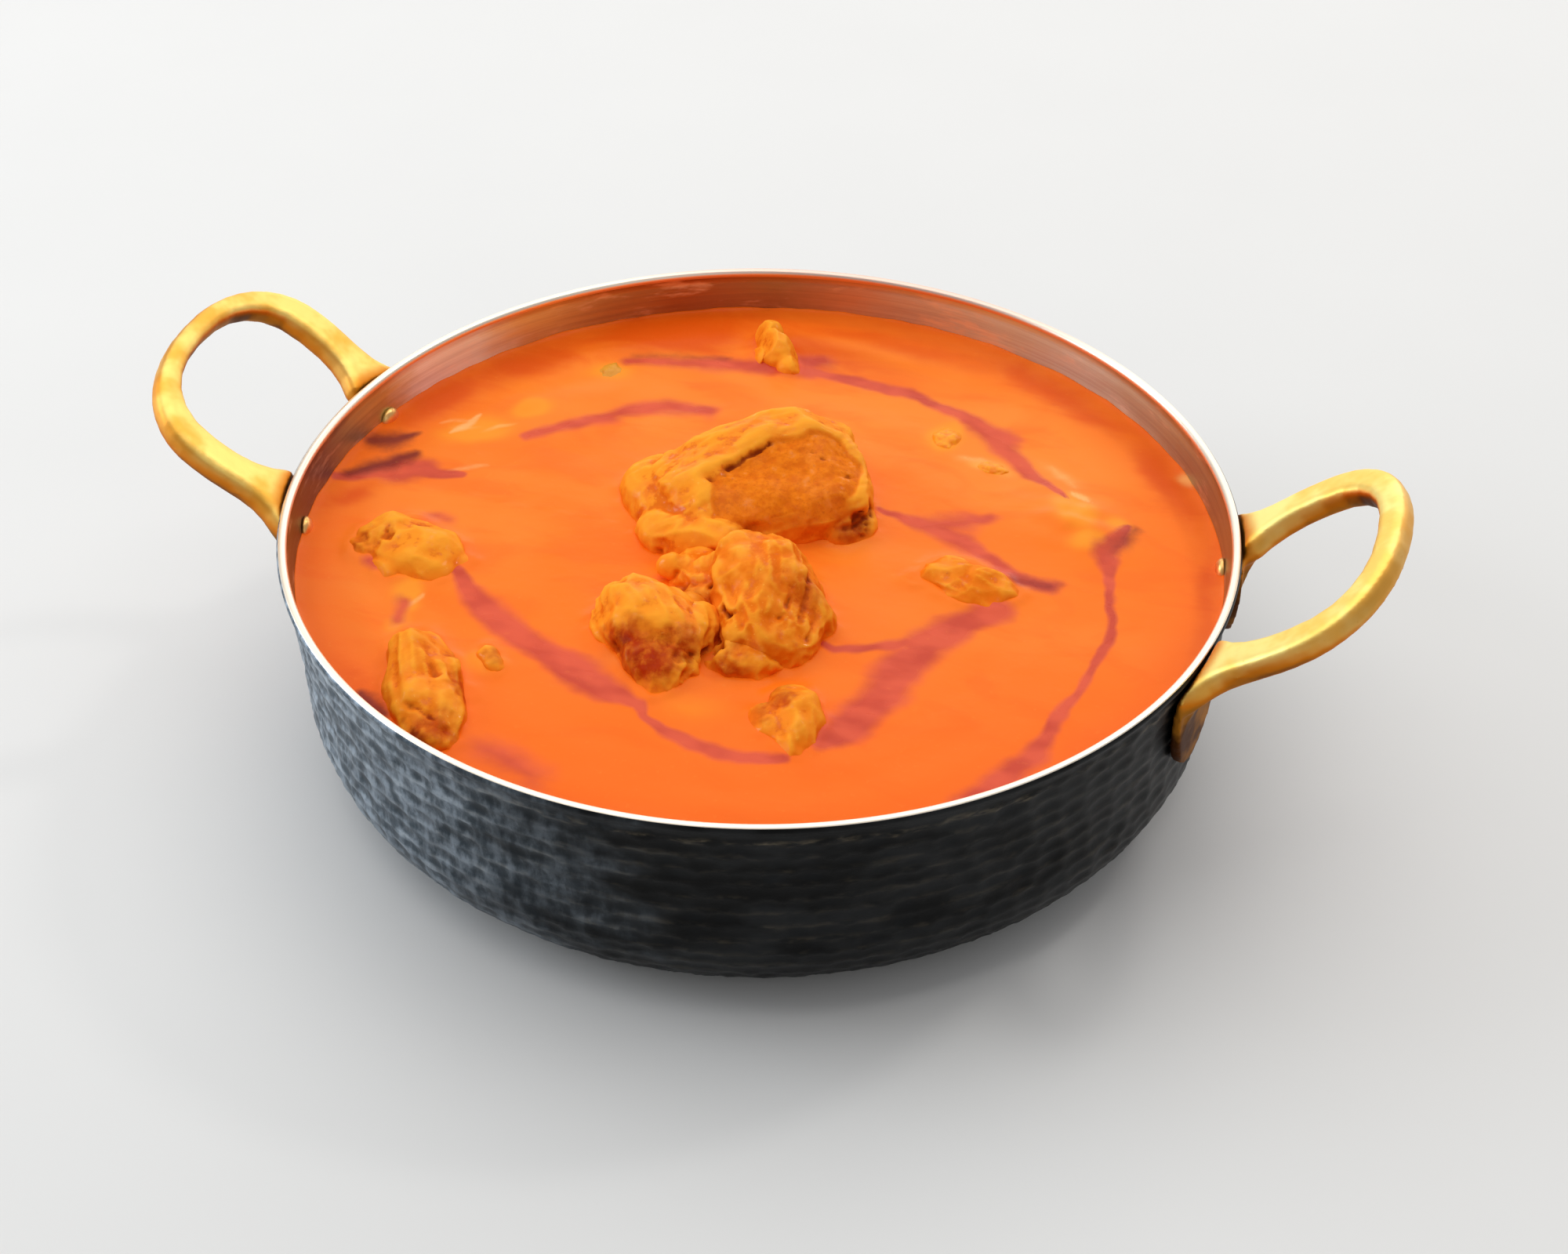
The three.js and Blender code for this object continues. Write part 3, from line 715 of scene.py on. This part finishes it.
lambShapes["lamb_back"] = dict(
    facets=(3, 0.4), lumps=(4.5, 0.4), grain=(0.7, -0.5, 0.5), fibres=0.1,
    planes=[(205, 35, (0.42, 0.7, 0.9)), (20, 30, (0.75, 0.7, 0.8))],
    lobes=[(0.3, 1, 0.7, 2.6, 2.8, 3.4, 0), (0.9, 0.1, 0.6, 2.4, 2.6, 2.6, 0),
        (0.12, 0.25, 0.62, 3.4, 2.6, 2.8, 0)],
    pits=[(0.3, 0.4, 0.6, 2.5, 0.3, 0)],
)


def shaveOff(points, around, rise, deep=0.0, through=None):  # presses flat all that is past a plane
    a, b = math.radians(around), math.radians(rise)
    facing = np.array((math.cos(b) * math.cos(a), math.cos(b) * math.sin(a), math.sin(b)))
    reach = points @ facing
    level = reach.max() - deep if through is None else through @ facing
    return points - 0.85 * np.maximum(0, reach - level)[:, None] * facing


def hollowness(mesh, points, normals, rounds):  # above 0 in hollows, below 0 on ridges
    pairs = np.empty(len(mesh.edges) * 2, np.int64)
    mesh.edges.foreach_get("vertices", pairs)
    first, second = pairs.reshape(-1, 2).T
    count = np.bincount(pairs, minlength=len(points))
    smooth = points
    for _ in range(rounds):
        near = np.empty_like(points)
        for k in range(3):
            near[:, k] = np.bincount(first, smooth[second, k], len(points))
            near[:, k] += np.bincount(second, smooth[first, k], len(points))
        smooth = 0.4 * smooth + 0.6 * near / count[:, None]
    return ((smooth - points) * normals).sum(axis=1)


def farFrom(points, node, share):  # how far each point is from a place in the node's box
    return np.linalg.norm(points - inBox(node, share), axis=1)


def roughLamb(node, shape, points, normals, seed):  # flats, then lumps and knobs
    for around, rise, share in shape["planes"]:
        points = shaveOff(points, around, rise, through=inBox(node, share))
    dice = random.Random(seed)
    count, deep = shape["facets"]
    for _ in range(count):
        points = shaveOff(points, dice.uniform(0, 360), dice.uniform(10, 70), deep * dice.uniform(0.5, 1.5))
    size, height = shape["lumps"]
    ridged = 0.5 - np.abs(noiseAt(points, size * 0.8, seed + 9))
    points = points + normals * (height * (noiseAt(points, size, seed) + 0.6 * ridged - 0.1))[:, None]
    for *spot, reach, rise in shape["knobs"]:
        near = 1 - ease(farFrom(points, node, spot), 0, reach)
        points = points + normals * (rise * near)[:, None]
    return points


def cutFace(node, shape, points, normals, seed):  # a flat cut face inside a raised rim, and where it is
    outline = [inBox(node, (u, v, 0))[:2] for u, v in shape["face"]]
    deep = insideBy(points[:, :2], outline) + 1.1 * noiseAt(points, 4, seed + 4)
    upwards = ease(normals[:, 2], 0.1, 0.5)
    flesh = ease(deep, -0.2, 0.8) * upwards
    rim = np.exp(-(((deep + 1.9) / 1.6) ** 2)) * upwards
    points[:, 2] += 0.6 * rim - 0.6 * flesh
    return flesh


def scarLamb(node, shape, points, normals, ragged):  # pits and cuts, and the painted shade inside them
    dark = np.zeros(len(points))
    # stain: how much painted shade fills each pit and cut
    for *spot, reach, depth, stain in shape["pits"]:
        pit = 1 - ease(farFrom(points, node, spot) + ragged, 0.3 * reach, reach)
        points = points - normals * (depth * pit)[:, None]
        dark = np.maximum(dark, stain * pit)
    for width, depth, stain, stops in shape["cuts"]:
        places = [inBox(node, stop) for stop in stops]
        far = np.min([lineDistance(points, *ends)[0] for ends in zip(places, places[1:])], axis=0)
        groove = 1 - ease(far + 0.6 * ragged, 0.2 * width, 1.9 * width)
        points = points - normals * (depth * groove)[:, None]
        dark = np.maximum(dark, stain * groove)
    return points, dark


def frayLamb(shape, points, normals, flesh, seed):  # fibres along the grain, and crumbs
    grain = np.array(shape["grain"]) / np.linalg.norm(shape["grain"])
    across = points - 0.85 * (points @ grain)[:, None] * grain
    strands = 0.55 - 2 * np.abs(noiseAt(across, 1.9, seed + 2)) + 0.35 * noiseAt(across, 0.9, seed + 3)
    frayed = ease(noiseAt(points, 6.5, seed + 6), -0.25, 0.25) * (1 - 0.7 * flesh)
    crumbs = noiseAt(points, 1.3, seed + 8, 3)
    pull = shape["fibres"] * (0.25 + 0.75 * frayed)
    return points + normals * (pull * strands + (0.03 + 0.06 * frayed + 0.08 * flesh) * crumbs)[:, None]


def makeLamb(node, finish):
    shape = {**lambBasics, **lambShapes[node]}
    seed = 3.0 * list(lambShapes).index(node) + 1
    mesh = evenCopy(node, shape["cell"], 4, shape["lobes"])
    normals = readPoints(mesh, "normal")
    points = readPoints(mesh) + shape["swell"] * normals
    points[:, 2] -= shape["sink"]
    points = roughLamb(node, shape, points, normals, seed)
    flesh = cutFace(node, shape, points, normals, seed) if shape["face"] else np.zeros(len(points))
    ragged = 0.8 * noiseAt(points, 2.2, seed + 13) + 0.5 * noiseAt(points, 0.9, seed + 14)
    points, dark = scarLamb(node, shape, points, normals, ragged)
    # reds: dark red patches, partly painted shade on lower and shadowed sides
    red = np.zeros(len(points))
    for *spot, reach, strength in shape["reds"]:
        far = farFrom(points, node, spot) + 1.6 * ragged
        red = np.maximum(red, strength * (1 - ease(far, 0.3 * reach, reach)))
    points = frayLamb(shape, points, normals, flesh, seed)
    movePoints(mesh, points)
    normals = readPoints(mesh, "normal")
    hollow = hollowness(mesh, points, normals, 10)
    dip = hollowness(mesh, points, normals, 70)
    marks = {
        # dip: painted shade in broad hollows, painted light on broad bulges
        "dip": np.clip(0.5 + 0.8 * dip, 0, 1),
        # steep: where painted shade darkens steep and downward faces
        "steep": 1 - ease(normals[:, 2], -0.1, 0.75),
        "ruddy": np.full(len(points), shape["ruddy"]),
        "flesh": flesh,
        "red": red,
        # dark: painted shade in pits, cuts and hollows
        "dark": np.clip(dark + 1.5 * np.clip(hollow - 0.04, 0, 0.4), 0, 1),
        # ridge: painted highlight on sharp ridges
        "ridge": np.clip(-hollow * 7, 0, 1),
    }
    for name, values in marks.items():
        keepMark(mesh, name, values)
    piece = addPiece(node + "_piece", mesh, [node], [finish])
    print(node, "carved:", len(mesh.polygons), "faces")
    return piece


def stewedLamb():
    finish = Finish("stewedLamb", Specular_IOR_Level=0.04, Coat_Roughness=0.12)
    names = ("flesh", "dark", "red", "ridge", "steep", "dip", "ruddy")
    flesh, dark, red, ridge, steep, dip, ruddy = map(finish.mark, names)
    broad = finish.cloud(6, 3, 0.6)
    small = finish.cloud(2.0, 4, 0.6)
    grains = finish.cloud(0.7, 3, 0.6)
    coat = broad.fade(0.42, 0.66).mix(tone(253, 151, 34), tone(246, 130, 25))
    # partly random, partly painted shade: redder in broad hollows
    coat = (small + (dip - 0.5) * 0.7).wash(coat, 0.46, 0.66, 0.65, (216, 86, 0))
    # painted light: yellower on broad bulges
    coat = dip.wash(coat, 0.45, 0.2, 0.5, (255, 167, 46))
    # painted shade on steep sides
    coat = (steep * broad.fade(0.3, 0.6, 0.25, 0.62)).mix(coat, tone(212, 88, 0))
    coat = (ruddy * broad.fade(0.38, 0.62, 1.3, 0.25)).mix(coat, tone(226, 102, 0))
    # painted highlight on ridges
    coat = ridge.wash(coat, 0, 1.3, 0.6, (255, 168, 44))
    # painted glints: pale specks on the sauce coat
    coat = grains.wash(coat, 0.64, 0.76, 0.5, (255, 190, 84))
    meat = small.fade(0.3, 0.7).mix(tone(220, 104, 8), tone(240, 128, 18))
    meat = grains.wash(meat, 0.5, 0.75, 0.5, (196, 84, 4))
    body = flesh.mix(coat, meat)
    # dark red patches, partly painted shade
    body = (red * small.fade(0.3, 0.6, 0.6, 1)).mix(body, tone(176, 48, 0))
    # painted shade: dark red-brown in pits, cuts and hollows
    body = (dark + (small - 0.5) * 0.5).fade(0.1, 1).mix(body, tone(128, 40, 0))
    body = (finish.axis("Z") + broad * 2.4).wash(body, surface + 3, surface + 1, 0.8, (248, 114, 14))
    finish.set("Base Color", body)
    wet = broad.fade(0.42, 0.62, 0.01, 0.1) + small.fade(0.58, 0.68) * 0.35
    finish.set("Coat Weight", wet * (1 - dark) * (1 - red * 0.7))
    finish.set("Roughness", 0.4 + small * 0.2 + flesh * 0.14)
    finish.relief(grains * 0.6 + small, 0.12, 0.5)
    return finish


# ---- curry

curryShape = {
    "steps": 512,
    "ringPitch": 0.62,
    "intoWall": 0.15,
    "wallRise": 0.7,
    "lambRise": 0.75,
    "mounds": [  # x, y, reach along, reach across, turn, height
        (51, 24, 10.5, 7, -40, 1.8), (-57, 31, 6, 4, 20, 1), (67, 43, 4, 2.5, -50, 0.5),
        (30, 52, 12, 7, 0, 0.25),
    ],
    "ripples": (9.0, 0.1),  # size and height
    "swell": (24.0, 0.3),
}

# trails of red oil on the surface: (x, y, half width), and how strong each is
oilTrails = [
    (0.7, [(-43, 50.6, 1.3), (-34, 53.2, 2), (-26, 55, 2.2), (-16, 56, 1.6), (-8, 57, 1.6)]),
    (0.9, [(-10, 57, 1), (3, 57, 1.4), (11, 56.7, 1.7), (17, 53, 1.2), (23, 51, 1.6), (32, 46, 3),
        (34, 42, 2), (38, 38, 1.2), (44, 34, 0.8), (48, 31, 0.5)]),
    (0.7, [(-10, 60, 2.2), (-6, 61.5, 2)]),
    (0.72, [(-51.7, 20.4, 0.9), (-48.4, 23.9, 1.5), (-42.8, 29.6, 1.7), (-36.6, 33.8, 2),
        (-30.5, 37.6, 2.6), (-22.8, 38.6, 2)]),
    (0.8, [(17.2, 18.6, 0.7), (22, 17.6, 1.2), (27, 16, 2.4), (32.4, 12.8, 2.6), (37, 9.4, 1.6),
        (41, 7.4, 1.6), (45.9, 5, 1.9), (50.3, 5, 1.8)]),
    (0.58, [(28, 17, 2.6), (32.5, 18, 2.6), (36, 20.4, 1.4)]),
    (0.9, [(60, 25, 0.7), (57, 17, 2.2), (60, 10, 0.8), (62.6, 0, 0.8), (63, -11, 0.9), (61, -24, 0.8),
        (59.4, -33, 1.1), (58, -40, 2), (55, -46, 2.8), (50, -54, 2.8)]),
    (1, [(43, -5, 2.6), (38.5, -10, 2.8), (34, -17, 3.4), (32, -25, 3.4), (31, -33, 3.4), (28, -41, 3.2),
        (25, -47, 1.8)]),
    (0.8, [(31, -17, 1.3), (20, -24, 0.8), (14, -22.6, 0.5)]),
    (1, [(-49.5, -21, 0.7), (-46, -24, 1.2), (-42, -28, 2), (-35.5, -33, 2.8), (-30, -36, 2.6),
        (-24, -39.5, 2.4), (-19, -42, 2.8), (-13, -44.5, 2.4), (-6, -47, 0.9), (-4, -50, 0.7),
        (0, -52, 0.8), (7, -53, 1.3), (14, -54, 1.5), (21, -53, 0.8)]),
    (0.95, [(-79, -1.6, 1), (-74, 0.4, 1.8), (-69.5, 3, 3.4), (-66.5, 5.4, 2.8), (-63, 4.6, 1.6),
        (-58, 5.2, 0.9)]),
    (0.7, [(-63, -25, 1.6), (-61.5, -26, 1)]),
    (0.5, [(-54, -33, 1.4), (-52, -38, 1.2)]),
    (0.4, [(-26, -65, 2.6), (-21, -66.5, 3), (-16, -68.5, 2.4)]),
    (0.4, [(-58, -8, 1.6), (-55, -8, 1.2)]),
]

# dark spots of spice in the oil; the last one is a painted shadow between the near-rim lamb and the rim
spiceAndShadeTrails = [
    (1, [(-77.6, 10, 1.6), (-76, 10.8, 2.8), (-74.2, 11.6, 3.2), (-72.8, 13, 2), (-71.2, 15, 0.9)]),
    (0.9, [(-77.4, 0.6, 1.4), (-75, 2.2, 2.2), (-72.4, 4.4, 2.2), (-70.4, 6.6, 1.8), (-68.6, 9.2, 1)]),
    (0.45, [(61.6, 24.6, 1.2), (58.5, 19, 1.8)]),
    (0.4, [(44.5, 4.8, 1.4), (50.3, 5.2, 1.5)]),
    (0.25, [(-42, 52.8, 0.6), (-34, 55.4, 1), (-25, 57.2, 0.6)]),
    (0.9, [(-49.4, -58, 1), (-46.6, -60, 1.8), (-43.6, -62, 1.2)]),
]

# thin pale gleams on folds of the sauce
gleams = [
    (0.9, [(-65.5, 18.4, 0.5), (-64, 20.1, 1), (-63.1, 22.5, 1), (-62.4, 24.9, 0.5)]),
    (0.4, [(-68.7, 20.2, 0.5), (-66.3, 22, 0.9), (-63.7, 23.2, 0.5)]),
    (0.45, [(-61, 6, 0.6), (-57.4, 8, 1.1), (-54.6, 10, 0.6)]),
    (0.6, [(-52.5, -33.4, 0.8), (-50.4, -30.8, 0.6)]),
    (0.35, [(42, 40, 0.8), (45, 38, 1.4), (48, 36, 0.8)]),
    (0.7, [(48, 33.6, 0.4), (50.5, 32, 1), (52.5, 30.4, 0.4)]),
    (0.35, [(26, 38.6, 0.4), (30, 38, 0.9), (34, 37, 0.4)]),
]

# patches of colour under the surface: (x, y, reach along, reach across, turn, strength). The small pale ones
# are painted highlights on the sauce; the broad pale ones lighten it.
patches = {
    "golden": [(22.4, 44, 3.6, 4.6, 0, 1), (50, 27, 6.5, 3.5, -60, 1), (54, 19, 4, 3, 0, 0.7),
        (58, 25, 3, 2.5, 0, 0.7), (-61, 20, 8, 5, 30, 0.8), (-53.5, 29.5, 4.5, 3, 45, 0.9),
        (-53.5, -30.5, 3.2, 4.5, 0, 0.8), (-52, -38, 2.5, 4, 0, 0.6), (32.5, 36.2, 4, 1.7, -5, 0.9),
        (-33.5, -44.5, 4.5, 3, 0, 0.6), (-52, -34, 3, 2, 30, 0.6), (-44.6, 46, 5, 3.5, 10, 0.7),
        (2, -45, 8, 5, 10, 0.35)],
    "pale": [(32.6, 36.4, 5, 2.2, -8, 0.6), (44, 38.8, 5.5, 1.8, -22, 0.5), (50, 32.6, 2.4, 1, -25, 1.1),
        (-57.3, 22.4, 3.6, 0.7, 35, 0.8), (-63.5, 20.5, 3, 0.6, 20, 0.6), (67, 43, 2, 1.3, -40, 1),
        (29, 37.8, 4, 1.4, -8, 0.6), (-46, 40, 12, 3.5, 30, 0.3), (-12, -37, 9, 3, 20, 0.25),
        (20, 6, 16, 6, 0, 0.2), (-30, 20, 16, 6, 20, 0.25)],
    "deep": [(-12, 65, 24, 6, -3, 0.9), (-22, 48, 9, 3, 5, 0.25), (-71.5, 27, 12, 4.2, 66, 1.1),
        (-61.5, 43.5, 12, 5, 50, 1), (-36, 63.5, 18, 8.5, 24, 1.2), (-73.5, -6, 5.5, 3, 60, 0.9),
        (8, 72, 22, 4.5, -8, 0.8), (38, 64, 20, 4, -32, 0.8), (63, 42, 16, 3.5, -58, 0.9),
        (77, 10, 20, 2.2, -84, 0.6), (-50, -58, 12, 4, -50, 0.5), (-18, -74, 24, 4, -12, 0.3)],
}


def trailShare(spots, trails):
    best = np.full(len(spots), -1.0)
    for strength, stops in trails:
        for first, second in zip(stops, stops[1:]):
            far, share = lineDistance(spots, np.array(first[:2], float), np.array(second[:2], float))
            width = first[2] + (second[2] - first[2]) * share
            best = np.maximum(best, np.clip(strength * (1 - far / width * 0.72), -1, 1))
    return best


def ovalShare(spots, x, y, long, wide, turn):  # 1 in the middle of an oval, fading out
    a = math.radians(turn)
    dx, dy = spots[:, 0] - x, spots[:, 1] - y
    along = (dx * math.cos(a) + dy * math.sin(a)) / long
    across = (dy * math.cos(a) - dx * math.sin(a)) / wide
    return np.exp(-(along**2 + across**2))


def curryProfile():
    wall = panShape["wall"] - curryShape["intoWall"]
    edge = sideRadius(surface) - wall
    rings = [(radius, surface) for radius in np.arange(0, edge - 1.2, curryShape["ringPitch"])]
    rings += [(edge - gone, surface) for gone in (0.9, 0.6, 0.3, 0)]
    side = [(sideRadius(h) - wall, h) for h in (surface - 2, surface - 6, surface - 12, panShape["corner"])]
    corner = arcPoints((panShape["baseRadius"], panShape["corner"]), panShape["corner"] - wall, -10, -90, 7)
    return rings + side + corner + [(30, wall), (0, wall)]


def shoreDistance(flat, pieces):  # how far each spot is from the nearest lamb at the surface
    shore = [p for piece in pieces for p in readPoints(piece.data) if surface - 0.5 < p[2] < surface + 1.2]
    tree = kdtree.KDTree(len(shore))
    for i, (x, y, _) in enumerate(shore):
        tree.insert((x, y, 0), i)
    tree.balance()
    return np.array([tree.find((x, y, 0))[2] for x, y in flat])


def sauceHeight(spots, pieces):  # how far the surface stands above its level
    flat = spots[:, :2]
    radius = np.linalg.norm(flat, axis=1)
    edge = radius.max()
    size, depth = curryShape["swell"]
    height = depth * noiseAt(spots, size, 4)
    size, depth = curryShape["ripples"]
    turned = np.arctan2(flat[:, 1], flat[:, 0])
    rings = np.sin(radius * math.tau / size + 1.4 * turned + 2.5 * noiseAt(spots, 30, 8))
    height += depth * rings * (0.5 + 0.5 * noiseAt(spots, 22, 12)) * ease(radius, 15, 35)
    for *oval, rise in curryShape["mounds"]:
        height += rise * ovalShare(flat, *oval) * (1 + 0.35 * noiseAt(spots, 3.5, 21))
    height *= 1 - ease(radius, edge - 9, edge - 1)
    atWall = np.exp((radius - edge) / 0.9) * (1 + 0.5 * noiseAt(spots, 5, 15))
    height += curryShape["wallRise"] * atWall
    atLamb = np.exp(-shoreDistance(flat, pieces)) * (0.8 + 0.6 * noiseAt(spots, 3, 18))
    height += curryShape["lambRise"] * atLamb
    return height + 0.035 * noiseAt(spots, 1.6, 30)


def makeCurry(finish, pieces):
    mesh = spun("curry", curryProfile(), curryShape["steps"])
    points = readPoints(mesh)
    top = points[:, 2] > surface - 0.01
    points[top, 2] += sauceHeight(points[top], pieces)
    movePoints(mesh, points)
    full = points[:, :2] + 1.3 * np.stack([noiseAt(points, 9, 41), noiseAt(points, 9, 44)], axis=1)
    full += 0.55 * np.stack([noiseAt(points, 2.6, 47), noiseAt(points, 2.6, 50)], axis=1)
    for name, trails in (("oil", oilTrails), ("stain", spiceAndShadeTrails), ("gleam", gleams)):
        keepMark(mesh, name, trailShare(full, trails))
    for name, ovals in patches.items():
        shares = [strength * ovalShare(full, *oval) for *oval, strength in ovals]
        keepMark(mesh, name, np.max(shares, axis=0))
    addPiece("currySauce", mesh, ["curry"], [finish])
    print("curry poured:", len(mesh.polygons), "faces")


def currySauce():
    finish = Finish("currySauce", Specular_IOR_Level=0.12)
    x, y = finish.axis("X"), finish.axis("Y")
    radius = (x * x + y * y) ** 0.5
    broad = finish.cloud(34, 3, 0.5, (1.6, 1, 1), 0.6)
    drift = finish.cloud(9, 3, 0.55, (2.2, 1, 1), 0.8)
    grain = finish.cloud(1.1, 3, 0.6)
    body = broad.fade(0.35, 0.65).mix(tone(252, 118, 12), tone(253, 134, 36))
    body = drift.wash(body, 0.45, 0.7, 0.5, (250, 106, 8))
    body = (y * -0.9 + x * 0.35 + (broad - 0.5) * 50).wash(body, 5, 62, 0.8, (252, 105, 6))
    body = (radius + (broad - 0.5) * 14).wash(body, 66, 80, 0.6, (240, 94, 14))
    body = (finish.mark("golden") + (drift - 0.5) * 0.4).wash(body, 0.1, 0.7, 0.85, (253, 152, 30))
    # pale: painted highlights, and broad faint lighter zones of sauce
    body = (finish.mark("pale") + (drift - 0.5) * 0.3).wash(body, 0.05, 0.9, 0.8, (255, 176, 96))
    body = (finish.mark("deep") + (drift - 0.5) * 0.9).wash(body, 0.05, 1, 0.9, (226, 80, 0))
    body = (finish.mark("gleam") + (grain - 0.5) * 0.3).wash(body, 0, 0.8, 0.7, (255, 186, 116))
    mottle = finish.cloud(6, 2, 0.5, (1.6, 1, 1))
    oil = finish.mark("oil") + (drift - 0.5) * 0.6 + (mottle - 0.5) * 0.3 + (grain - 0.5) * 0.1
    streak = oil.fade(-0.2, 0.6)
    stain = mottle.fade(0.35, 0.65).mix(tone(200, 66, 46), tone(222, 86, 58))
    body = (streak * 0.95).mix(body, stain)
    # dark spice spots, and a painted shadow beside the near-rim lamb
    darkSpots = finish.mark("stain") + (drift - 0.5) * 0.5 + (grain - 0.5) * 0.3
    body = darkSpots.wash(body, -0.25, 0.9, 0.9, (116, 24, 24))
    body = grain.wash(body, 0.6, 0.8, 0.12, (255, 160, 70))
    finish.set("Base Color", body)
    finish.set("Roughness", 0.3 + drift * 0.14 - streak * 0.1)
    finish.relief(grain * 0.6 + drift, 0.16, 0.35)
    return finish


# ---- small bits on the surface

bits = [
    # x, y, length, width, height, turn, colour: 0 yellow, 1 green
    (22.4, 43.6, 5.2, 6.8, 1.3, 10, 0), (32.8, 36.6, 5.6, 3.8, 0.9, -8, 0),
    (-44.6, 46.5, 4.2, 5.6, 1.0, 0, 1), (51.5, 25.4, 6.6, 5.4, 1.7, -25, 0),
    (46.6, 22.8, 4.4, 4.6, 1.3, 15, 0), (-16.5, -15.5, 6.4, 2.6, 1.0, 6, 0),
    (-55.9, 30.4, 3.4, 3.4, 0.9, 25, 0),
]


def makeBits(finish):
    whole = bmesh.new()
    for x, y, long, wide, tall, turn, _ in bits:
        made = bmesh.ops.create_icosphere(whole, subdivisions=4, radius=1)["verts"]
        for vert in made:
            broad = noise.noise(vert.co * 1.5 + Vector((x, y, 0)))
            fine = noise.noise(vert.co * 4 + Vector((y, x, 0)))
            vert.co *= 1 + 0.22 * broad + 0.1 * fine
        setDown(whole, made, (long / 2, wide / 2, tall), turn, (x, y, surface - 0.35 * tall))
    bmesh.ops.scale(whole, vec=(mm, mm, mm), verts=whole.verts)
    mesh = meshOf("bits", whole)
    points = readPoints(mesh)
    hue = np.zeros(len(points))
    for x, y, long, *_, kind in bits:
        hue[np.hypot(points[:, 0] - x, points[:, 1] - y) < 0.75 * long] = kind
    keepMark(mesh, "kind", hue)
    addPiece("onionBits", mesh, [], [finish])
    print("bits scattered")


def onionBits():
    finish = Finish("onionBits", Specular_IOR_Level=0.2, Coat_Weight=0.1, Coat_Roughness=0.15)
    kind = finish.mark("kind")
    small = finish.cloud(1.2, 3, 0.6)
    body = small.fade(0.35, 0.7).mix(tone(255, 160, 10), tone(250, 130, 12))
    body = kind.fade(0.4, 0.9).mix(body, tone(226, 150, 40))
    finish.set("Base Color", body)
    finish.set("Roughness", 0.26 + small * 0.2)
    return finish


# ---- floor


def addFloor():
    shape = bmesh.new()
    bmesh.ops.create_grid(shape, x_segments=1, y_segments=1, size=3)
    floor = addObject("floor", meshOf("floor", shape))
    finish = Finish("floorPaint")
    speck = finish.cloud(60, 2, 0.5)
    finish.set("Base Color", speck.mix(tone(222, 221, 219), tone(226, 225, 223)))
    finish.set("Roughness", 0.62 + speck * 0.06)
    floor.data.materials.append(finish.material)


placeCamera()
addLamps()
addFloor()
print("studio ready")
makePan([blackenedSteel(), brushedSteel(), polishedLip()])
makeHandle("handle_right", castBrass("castBrassRight", tone(255, 236, 146), tone(252, 212, 106)))
makeHandle("handle_left", castBrass("castBrassLeft", tone(255, 220, 124), tone(242, 182, 74)))
rivetFinish = rivetBrass()
for i in range(1, 5):
    makeRivet(f"rivet_{i}", rivetFinish)
print("rivets set")
meat = stewedLamb()
lambPieces = [makeLamb(node, meat) for node in lambShapes]
makeCurry(currySauce(), lambPieces)
makeBits(onionBits())
bpy.context.scene.view_settings.view_transform = "Standard"
